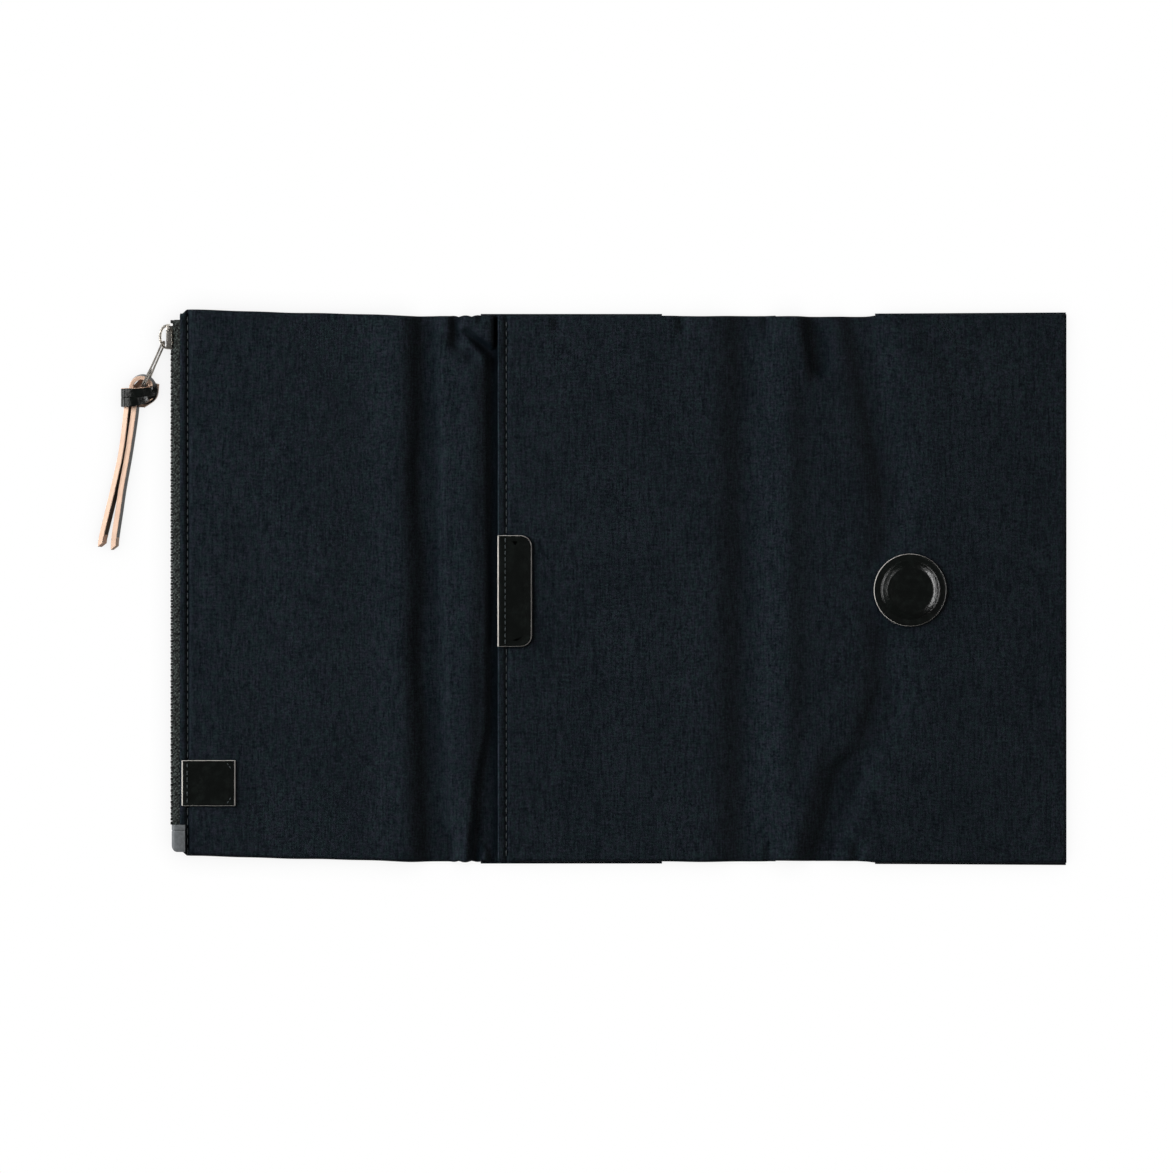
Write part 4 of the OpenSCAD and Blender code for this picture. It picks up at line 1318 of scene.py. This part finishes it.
def sew_sleeve(node, body, mouth_on_left):
    """The line along a sleeve's mouth."""
    x, reach = sleeve_seam_x(node, mouth_on_left), high(node)[1] - 2.5
    stitch_line(f"{node}_stitches", body, (x, reach), (x, -reach), level_at(0.2), -1)


class COVER_OT_stitches(bpy.types.Operator):
    """Sew the zip's edge, the pocket's mouth, the sleeves' mouths and the two labels"""

    bl_idname = "notebook_cover.stitches"
    bl_label = "Stitches"

    def execute(self, context):
        sew_zip_side()
        sew_mouth()
        sew_labels()
        sew_sleeve("back_sleeve", "back_cover", False)
        sew_sleeve("front_sleeve", "front_cover", True)
        return {"FINISHED"}


# Zip -------------------------------------------------------------------------------------------


def refined(node, name, body, finish, width, segments=2, change=None):
    """A piece made from a node's own shape, with its edges rounded to a width in millimetres."""
    shape = bmesh.new()
    shape.from_mesh(frame["nodes"][node].data)
    bmesh.ops.remove_doubles(shape, verts=shape.verts, dist=0.00001)
    bmesh.ops.dissolve_limit(shape, angle_limit=math.radians(1), verts=shape.verts, edges=shape.edges)
    if change:
        change(shape)
    mesh = bpy.data.meshes.new(name)
    shape.to_mesh(mesh)
    shape.free()
    mesh.materials.append(material(finish))
    piece = bpy.data.objects.new(name, mesh)
    bpy.context.scene.collection.objects.link(piece)
    bevel(piece, width, segments)
    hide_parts(node)
    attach(piece, body)


TAPE_THICKNESS = 0.4


def tape_centre_line(up):
    """Middle line of one tape in x and z, from inside the pouch round the turn to the teeth. up is 1
    for the upper tape and -1 for the lower one."""
    turn = 1.1  # radius of the turn
    under_cloth = 0.7
    start_x = FLAP_EDGE + 1.9
    face_x = low("zip_tape_front")[0] + TAPE_THICKNESS / 2
    turn_x = face_x + turn
    level = ZIP_END_H - under_cloth if up > 0 else FLAP_FLOOR + under_cloth
    points = [(start_x, level), (FLAP_EDGE, level), ((FLAP_EDGE + turn_x) / 2, level)]
    for angle in np.radians(np.linspace(90, 180, 8)):
        points.append((turn_x + turn * math.cos(angle), level - up * turn + up * turn * math.sin(angle)))
    points.append((face_x, CHAIN_Z + up * 1.6))
    points.append((face_x, CHAIN_Z + up * 1.1))
    return np.array(points)


def tape_piece(name, node, up):
    """One tape, with the corded ribs that the teeth are clamped on."""
    rib_height = 0.34
    corner, corner_run = 1.3, 2.4  # the tape's cut corner at its upper end, in x and in y
    line = tape_centre_line(up)
    direction = np.gradient(line, axis=0)
    direction /= np.linalg.norm(direction, axis=1)[:, None]
    outward = np.stack([-direction[:, 1], direction[:, 0]], 1) * -up
    pitch = settings().zip.pitch / MM
    y0, y1 = low(node)[1], high(node)[1]
    rows = np.arange(y0, y1, pitch / 6)
    count = len(line)
    on_turn = np.clip(np.arange(count), 0, 1)
    rings = []
    for y in rows:
        rib = rib_height * abs(math.sin(math.pi * (y - y0) / pitch))
        near_end = max(0.0, 1 - (y1 - y) / corner_run)
        round_off = corner * (1 - math.sqrt(1 - near_end**2))
        shift = np.stack([round_off * on_turn, 0 * on_turn], 1)
        outer = line + outward * (TAPE_THICKNESS / 2 + (rib * on_turn)[:, None]) + shift
        inner = line - outward * (TAPE_THICKNESS / 2) + shift
        loop = np.concatenate([outer, inner[::-1]])
        rings.append([(x, y, z) for x, z in loop])
    if up > 0:
        rings = rings[::-1]
    piece = ringed(name, rings, [0] * (len(rings) - 1), ("zip_tape",))
    sharpen(piece, 60)
    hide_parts(node)
    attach(piece, "flap")


def crease_tab(shape):
    """Presses the end tab's fold line into it, across its whole face."""
    from_end, half_width, depth, side_depth = 0.0024, 0.0004, 0.00022, 0.0002
    crease_y = high("zip_end_tab")[1] * MM - from_end
    for offset in (-half_width, 0.0, half_width):
        geometry = shape.verts[:] + shape.edges[:] + shape.faces[:]
        cut_at = (0, crease_y + offset, 0)
        bmesh.ops.bisect_plane(shape, geom=geometry, plane_co=cut_at, plane_no=(0, 1, 0))
    middle = (low("zip_end_tab") + high("zip_end_tab")) / 2 * MM
    for vertex in shape.verts:
        if abs(vertex.co.y - crease_y) < 0.00005:
            vertex.co.z += depth * (1 if vertex.co.z < middle[2] else -1)
            if vertex.co.x < middle[0]:
                vertex.co.x += side_depth


class COVER_OT_zip(bpy.types.Operator):
    """Build the zip's tapes, teeth, stops and end tab"""

    bl_idname = "notebook_cover.zip"
    bl_label = "Zip"

    def execute(self, context):
        tape_piece("tape_front", "zip_tape_front", 1)
        tape_piece("tape_back", "zip_tape_back", -1)
        for name in ("teeth_front", "teeth_back", "top_stops", "bottom_stop"):
            refined(f"zip_{name}", name, "flap", "dark_teeth", 0.16)
        refined("zip_end_tab", "end_tab", "flap", "grey_tab", 0.25, 3, crease_tab)
        return {"FINISHED"}


# Slider, wire and lace -------------------------------------------------------------------------


def swept(name, sections, kinds, finishes, closed=False):
    """A solid swept through sections, each a loop of points. kinds gives the finish of each side, and
    where the sweep is closed, of each side of each section. An open one's caps take the last finish."""
    sides, count = len(sections[0]), len(sections)
    faces, finish = [], []
    if not closed:
        faces.append(tuple(reversed(range(sides))))
        finish.append(len(finishes) - 1)
    for level in range(count if closed else count - 1):
        a, b = level * sides, ((level + 1) % count) * sides
        for k in range(sides):
            after = (k + 1) % sides
            faces.append((a + k, a + after, b + after, b + k))
            finish.append(kinds[level][k] if closed else kinds[k])
    if not closed:
        last = (count - 1) * sides
        faces.append(tuple(range(last, last + sides)))
        finish.append(len(finishes) - 1)
    points = [point for section in sections for point in section]
    return make_piece(name, points, faces, finishes, finish)


def smooth_path(points, count):
    """A smooth path through a few points, by cubic interpolation, evenly spaced."""
    points = np.array(points, float)
    padded = np.concatenate([[2 * points[0] - points[1]], points, [2 * points[-1] - points[-2]]])
    fine = []
    for k in range(len(points) - 1):
        p0, p1, p2, p3 = padded[k : k + 4]
        slope, bend, turn = p2 - p0, 2 * p0 - 5 * p1 + 4 * p2 - p3, 3 * p1 - p0 - 3 * p2 + p3
        for t in np.linspace(0, 1, 24, endpoint=False):
            fine.append(0.5 * (2 * p1 + slope * t + bend * t**2 + turn * t**3))
    fine.append(points[-1])
    fine = np.array(fine)
    run = np.concatenate([[0], np.cumsum(np.linalg.norm(np.diff(fine, axis=0), axis=1))])
    even = np.linspace(0, run[-1], count)
    return np.stack([np.interp(even, run, fine[:, axis]) for axis in range(3)], 1)


def directions(path):
    """Unit direction of a path at each of its points."""
    steps = np.gradient(path, axis=0)
    return steps / np.linalg.norm(steps, axis=1)[:, None]


def tube(name, path, radius, sides, finish):
    """A round wire along a path."""
    ahead = directions(path)
    side = np.cross(ahead[0], (0.3, 0.5, 0.8))
    sections = []
    for point, along in zip(path, ahead):
        side = side - along * (side @ along)
        side /= np.linalg.norm(side)
        other = np.cross(along, side)
        turns = np.linspace(0, 2 * math.pi, sides, endpoint=False)
        sections.append([point + radius * (side * math.cos(t) + other * math.sin(t)) for t in turns])
    return swept(name, sections, [0] * sides, (finish,))


def pull_wire_piece():
    """The wire pull: a long loop whose two ends lie beside it where the lace hangs."""
    pin, knot = joint_place("pull_swing"), joint_place("lace_swing")
    ahead = (knot - pin) / np.linalg.norm(knot - pin)
    reach = np.linalg.norm(knot - pin)
    radius, half = 0.4, 2.3  # of the wire, and half the loop's width
    spare = 0.85  # distance from one strand to the next beside it
    start_back, end_back = 8.0, 6.5  # how far the wire's two ends run back from the knot
    line = []

    def lay(u, v, w):
        """Adds a point of the wire: u from the pin to the knot, v across the loop, w beside it."""
        open_up = float(smooth_step(np.array(u / reach), 0.45, 0.95))
        roll = math.radians(6 + 6 * open_up)
        wide = v * (1 + 0.16 * open_up)
        across = np.cross(ahead, (0, 0, 1))
        up = np.array((0, 0, 1)) * math.cos(roll) + across * math.sin(roll)
        beside = across * math.cos(roll) - np.array((0, 0, 1)) * math.sin(roll)
        line.append(pin + ahead * u + up * wide + beside * w)

    bend = np.radians(np.linspace(-90, 90, 13))
    steps = len(bend) - 1
    # the first end runs beside the loop to the knot and, going round it, moves into the loop
    for u in np.linspace(reach - start_back, reach - half, 8)[:-1]:
        lay(u, -half, spare)
    for k, angle in enumerate(bend):
        lay(reach - half + half * math.cos(angle), half * math.sin(angle), spare * (1 - k / steps))
    # the loop's upper side, its turn round the pin and its lower side
    for u in np.linspace(reach - half, half, 16)[1:-1]:
        lay(u, half, 0)
    for angle in bend[::-1]:
        lay(half - half * math.cos(angle), half * math.sin(angle), 0)
    for u in np.linspace(half, reach - half, 16)[1:-1]:
        lay(u, -half, 0)
    # going round the knot again it moves out on the other side, and the second end runs back
    for k, angle in enumerate(bend):
        lay(reach - half + half * math.cos(angle), half * math.sin(angle), -spare * k / steps)
    for u in np.linspace(reach - half, reach - end_back, 7)[1:]:
        lay(u, half, -spare)
    piece = tube("wire_pull", np.array(line), radius, 12, "drawn_wire")
    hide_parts("pull_wire")
    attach(piece, "pull")


class COVER_OT_slider(bpy.types.Operator):
    """Build the slider, its bridge and the wire pull"""

    bl_idname = "notebook_cover.slider"
    bl_label = "Slider and pull"

    def execute(self, context):
        refined("slider_body", "zip_slider", "slider", "nickel", 0.22, 3)
        refined("slider_bridge", "zip_bridge", "slider", "nickel", 0.34, 3)
        pull_wire_piece()
        return {"FINISHED"}


def strip_sections(path, faces_out, width, thickness, end_slant=0.0):
    """Cross sections of a leather strip. faces_out is the way its black grain side faces at each point,
    and end_slant is how far short of the strip's end that side is cut off."""
    ahead = directions(path)
    corner = 0.18
    edge_slant = 0.35 * end_slant  # of the cut edge under the grain side
    w, t = width / 2, thickness / 2
    lengths = np.linalg.norm(np.diff(path, axis=0), axis=1)
    remaining = np.append(np.cumsum(lengths[::-1])[::-1], 0.0)
    shape = [(-w + corner, t), (w - corner, t), (w, t - corner), (w, corner - t)]
    shape += [(w - corner, -t), (corner - w, -t), (-w, corner - t), (-w, t - corner)]
    sections = []
    for k, (point, along, out) in enumerate(zip(path, ahead, faces_out)):
        out = out - along * (out @ along)
        out /= np.linalg.norm(out)
        side = np.cross(along, out)
        loop = []
        for across, level in shape:
            cut = end_slant if level == t else edge_slant * (0.5 + level / thickness)
            back = max(0.0, cut - remaining[k])
            loop.append(point + side * across + out * level - back * along)
        sections.append(loop)
    return sections


# A strip's sides in the order of its section: the first is the black grain side
STRIP_KINDS = (0, 1, 1, 1, 1, 1, 1, 1)
STRIP_FINISHES = ("black_leather", "natural_leather")
# Thickness of the lace where it is pulled tight round the knot
TIGHT = 1.3


def finish_strip(piece):
    """Says what a piece of the lace stands for and rides on."""
    sharpen(piece, 40)
    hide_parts("pull_strap")
    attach(piece, "lace")


def strip_piece(name, path, faces_out, width, thickness, end_slant=0.0, kinds=STRIP_KINDS):
    """A leather strip, black on its grain side and undyed on the others unless kinds says otherwise."""
    sections = strip_sections(path, faces_out, width, thickness, end_slant)
    finish_strip(swept(name, sections, kinds, STRIP_FINISHES))


def photo_place(px, py):
    """Place of a pixel of the photograph on the table, in millimetres."""
    pixel, middle_x, middle_y = 0.4, 616.0, 588.7
    return (px - middle_x) * pixel, (middle_y - py) * pixel


def lace_ring():
    """The ring of the lace round the wire, leaning, with its lower right side laid outwards."""
    width, thickness = settings().lace.width / MM, 1.6
    centre = np.array((*photo_place(143.3, 388.6), 3.3))
    radius = 4.5
    lean = math.radians(12)
    axis = np.array((-0.7 * math.sin(lean), -0.7 * math.sin(lean), math.cos(lean)))
    first = np.cross((0, 1, 0), axis)
    first /= np.linalg.norm(first)
    second = np.cross(axis, first)
    path, out, kinds = [], [], []
    for angle in np.radians(np.linspace(0, 360, 72, endpoint=False)):
        radial = first * math.cos(angle) + second * math.sin(angle)
        # 1 at the lower right, where the strip is laid outwards most and the ring is widest
        from_low_right = math.cos(angle + math.radians(58))
        flare = math.radians(10 + 46 * max(0.0, from_low_right) ** 1.6)
        grow = 0.7 * max(0.0, from_low_right) ** 2
        path.append(centre + radial * (radius + grow) - axis * 0.25 * grow)
        out.append(radial * math.cos(flare) + axis * math.sin(flare))
        kinds.append((0,) * 8 if from_low_right > 0.3 else STRIP_KINDS)
    path, out = np.array(path + path[:1]), np.array(out + out[:1])
    sections = strip_sections(path, out, width, thickness)[:-1]
    finish_strip(swept("lace_ring", sections, kinds, STRIP_FINISHES, closed=True))
    # the layer under it, whose undyed edge shows outside the black flare
    rim_radius, drop = 5.35, np.array((0, 0, -0.9))
    path, out = [], []
    for angle in np.radians(np.linspace(-120, 4, 28)):
        radial = np.array((math.cos(angle), math.sin(angle), 0.0))
        path.append(centre + radial * rim_radius + drop)
        out.append(-radial)
    strip_piece("lace_rim", np.array(path), np.array(out), 2.6, TIGHT)


def lace_band():
    """The two passes of the lace across the knot, and the end that comes out under them."""
    left, _ = photo_place(122, 0)
    turn = 2.2  # reach of the turn at the left
    bottom, top = 1.0, 5.5  # heights of the lower and the upper run
    for index, (middle_py, right_px, rise) in enumerate(((393.4, 155.0, 0.9), (402.7, 147.5, 2.2))):
        _, y = photo_place(0, middle_py)
        right, _ = photo_place(right_px, 0)
        path, out = [], []
        # the lower run to the left, the turn, and the upper run, which falls off at the right
        start = right - 1.5
        for share in np.linspace(0, 1, 8)[:-1]:
            path.append((start - (start - left - turn) * share, y, bottom))
            out.append((0, 0, -1))
        for angle in np.radians(np.linspace(270, 90, 14)):
            x = left + turn * 0.95 + (turn - 0.75) * math.cos(angle)
            path.append((x, y, (bottom + top) / 2 + (top - bottom) / 2 * math.sin(angle)))
            out.append((math.cos(angle), 0, math.sin(angle)))
        for share in np.linspace(0, 1, 16)[1:]:
            x = left + turn + (right - left - turn) * share
            fall = 1.5 * share**3
            crown = 0.35 * math.sin(math.pi * min(1.0, 1.4 * share))
            path.append((x, y + rise * share**2.5, top + crown - fall))
            out.append((0.25 * share**2, -0.15 * share, 1))
        # the upper of the two passes shows one undyed edge, the lower one is black all round outside
        kinds = (0, 0, 0, 0, 1, 1, 1, 1) if index == 0 else (0, 0, 0, 0, 1, 0, 0, 0)
        strip_piece(f"lace_band_{index}", np.array(path), np.array(out), 3.72, TIGHT, 0.0, kinds)
    under = ((157.2, 384, 2.6), (154.5, 397, 1.6), (143, 405.5, 1.2))
    path = smooth_path([(*photo_place(px, py), z) for px, py, z in under], 20)
    out = np.tile(np.array((0.15, -0.1, -1.0)), (len(path), 1))
    strip_piece("lace_pass", path, out, 2.2, TIGHT)
    inside = ((135.5, 396, 1.3), (143, 388, 1.1), (150.5, 381, 1.3))
    path = smooth_path([(*photo_place(px, py), z) for px, py, z in inside], 12)
    out = np.tile(np.array((0.1, -0.1, -1.0)), (len(path), 1))
    strip_piece("lace_inside", path, out, 6.6, 1.2)


def lace_tails():
    """The two tails, rolled on their edges, with the black side cut off short of their slanted ends."""
    lace = settings().lace
    middle = 2.2  # height of a tail's middle line
    end_slant = 5.2
    # the way of each tail over the table, as places in the photograph
    left = ((129.6, 400), (128.2, 415), (123.4, 452.8), (115.8, 488))
    left += ((110.0, 512), (104.0, 537), (102.8, 547))
    right = ((136.2, 400), (135.2, 415), (129.6, 452.8), (123.4, 488))
    right += ((119.9, 512), (116.2, 537), (115.4, 550))
    for name, pixels, more_roll in (("left", left, 0.0), ("right", right, math.radians(10))):
        path = smooth_path([(*photo_place(px, py), middle) for px, py in pixels], 48)
        roll = lace.roll + more_roll
        out = np.tile(np.array((math.sin(roll), 0.12, math.cos(roll))), (len(path), 1))
        width, thickness = lace.width / MM, lace.thickness / MM
        strip_piece(f"lace_tail_{name}", path, out, width, thickness, end_slant)


class COVER_OT_lace(bpy.types.Operator):
    """Build the leather lace: its ring, the band across the knot and the two tails"""

    bl_idname = "notebook_cover.lace"
    bl_label = "Lace"

    def execute(self, context):
        lace_ring()
        lace_band()
        lace_tails()
        return {"FINISHED"}


# Stage -----------------------------------------------------------------------------------------


class COVER_OT_stage(bpy.types.Operator):
    """Set the camera, the floor, the lights and the world"""

    bl_idname = "notebook_cover.stage"
    bl_label = "Stage"

    def execute(self, context):
        stage = settings().stage
        make_camera(stage)
        make_floor(stage)
        make_lights(stage)
        make_world()
        context.scene.view_settings.view_transform = "Standard"
        return {"FINISHED"}


def make_camera(stage):
    """A camera straight above the cover."""
    data = bpy.data.cameras.new("camera")
    data.sensor_width = 36
    data.lens = data.sensor_width * stage.camera_height / stage.frame_width
    camera = bpy.data.objects.new("camera", data)
    picture_middle = (-0.0118, 0.0009)
    camera.location = (*picture_middle, stage.camera_height)
    bpy.context.scene.collection.objects.link(camera)
    bpy.context.scene.camera = camera


def make_floor(stage):
    """A clear floor over the white background: it keeps the shadow close round the object."""
    size = 1.5
    corners = [(-size, -size, 0), (size, -size, 0), (size, size, 0), (-size, size, 0)]
    mesh = bpy.data.meshes.new("floor")
    mesh.from_pydata(corners, [], [(0, 1, 2, 3)])
    floor = bpy.data.objects.new("floor", mesh)
    pale = bpy.data.materials.new("pale_floor")
    pale.use_nodes = True
    nodes = Nodes(pale.node_tree)
    nodes.tree.nodes.remove(nodes.tree.nodes["Principled BSDF"])
    near = nodes.add("AmbientOcclusion", values={"Distance": stage.shadow_reach}, samples=16)
    shade = nodes.span((near, "AO"), 0.0, 1.0, 1 - stage.shadow_depth, 1.0)
    clear = nodes.add("BsdfTransparent", {"Color": shade})
    nodes.link((clear, 0), nodes.tree.nodes["Material Output"].inputs["Surface"])
    mesh.materials.append(pale)
    bpy.context.scene.collection.objects.link(floor)


def add_light(name, place, size, radiance, in_gloss):
    """A soft rectangular lamp that faces the cover. It is seen either in gloss or on matt surfaces,
    so that the highlights on the leather keep their places and the cloth its soft light."""
    data = bpy.data.lights.new(name, "AREA")
    data.shape = "RECTANGLE"
    data.size, data.size_y = size
    data.energy = radiance * math.pi * size[0] * size[1]
    lamp = bpy.data.objects.new(name, data)
    lamp.location = place
    lamp.rotation_mode = "QUATERNION"
    lamp.rotation_quaternion = (-Vector(place)).to_track_quat("-Z", "Y")
    lamp.visible_glossy = in_gloss
    lamp.visible_diffuse = not in_gloss
    bpy.context.scene.collection.objects.link(lamp)


def make_lights(stage):
    """A low light on the left and a higher, weaker one on the right, and the strips seen in gloss."""
    add_light("left_light", (-1.35, 0.4, 0.78), (0.9, 1.2), stage.left_light, False)
    add_light("right_light", (1.15, 0.05, 0.95), (0.16, 0.9), stage.right_light, False)
    gloss = stage.gloss_light
    add_light("left_low_strip", (-1.5, 0.3, 0.42), (2.0, 0.26), 0.9 * gloss, True)
    add_light("left_high_strip", (-0.75, 0.35, 1.3), (1.2, 0.16), 0.6 * gloss, True)
    add_light("right_strip", (1.2, 0.12, 0.98), (1.7, 0.34), 1.1 * gloss, True)


def make_world():
    """White to the camera, and to metal below the table's edge; a dim studio above."""
    white = (1, 1, 1, 1)
    world = bpy.data.worlds.new("studio")
    world.use_nodes = True
    nodes = Nodes(world.node_tree)
    path = nodes.add("LightPath")
    place = nodes.add("TexCoord")
    height = (nodes.add("SeparateXYZ", {0: (place, "Generated")}), "Z")
    mirrored = nodes.math("MAXIMUM", (path, "Is Glossy Ray"), (path, "Is Transmission Ray"))
    on_table = nodes.math("MULTIPLY", mirrored, nodes.span(height, -0.95, -0.7, 1.0, 0.0))
    as_white = nodes.math("MAXIMUM", (path, "Is Camera Ray"), on_table)
    studio = nodes.tree.nodes["Background"]
    studio.inputs["Color"].default_value = white
    # light thrown back by the table, and a little from all round
    nodes.link(nodes.span(height, -0.3, -0.05, 0.8, 0.08), studio.inputs["Strength"])
    pale = nodes.add("Background", values={"Color": white, "Strength": 1.0})
    mix = nodes.add("MixShader", {"Fac": as_white, 1: (studio, 0), 2: (pale, 0)})
    nodes.link((mix, 0), nodes.tree.nodes["World Output"].inputs["Surface"])
    bpy.context.scene.world = world


# Panel -----------------------------------------------------------------------------------------


class COVER_PT_panel(bpy.types.Panel):
    """Sizes, colours and steps of the cover"""

    bl_idname = "COVER_PT_panel"
    bl_label = "Notebook Cover"
    bl_space_type = "VIEW_3D"
    bl_region_type = "UI"
    bl_category = "Notebook Cover"

    def draw(self, context):
        layout = self.layout
        for step in STEPS:
            layout.operator(step.bl_idname)
        for group in ("cloth", "leather", "zip", "lace", "stage"):
            box = layout.box()
            box.label(text=group.capitalize())
            chosen = getattr(settings(), group)
            for name in chosen.__annotations__:
                box.prop(chosen, name)


STEPS = (
    COVER_OT_stage,
    COVER_OT_cloth,
    COVER_OT_leather,
    COVER_OT_stitches,
    COVER_OT_zip,
    COVER_OT_slider,
    COVER_OT_lace,
)
GROUPS = (ClothSettings, LeatherSettings, ZipSettings, LaceSettings, StageSettings, CoverSettings)


def register():
    """Registers the settings, the steps and the panel."""
    for cls in (*GROUPS, *STEPS, COVER_PT_panel):
        bpy.utils.register_class(cls)
    bpy.types.Scene.notebook_cover = bpy.props.PointerProperty(type=CoverSettings)


def unregister():
    """Removes what register added."""
    del bpy.types.Scene.notebook_cover
    for cls in reversed((*GROUPS, *STEPS, COVER_PT_panel)):
        bpy.utils.unregister_class(cls)


def main():
    """Builds everything."""
    register()
    bpy.ops.notebook_cover.stage()
    bpy.ops.notebook_cover.cloth()
    bpy.ops.notebook_cover.leather()
    bpy.ops.notebook_cover.stitches()
    bpy.ops.notebook_cover.zip()
    bpy.ops.notebook_cover.slider()
    bpy.ops.notebook_cover.lace()


if __name__ == "__main__":
    main()
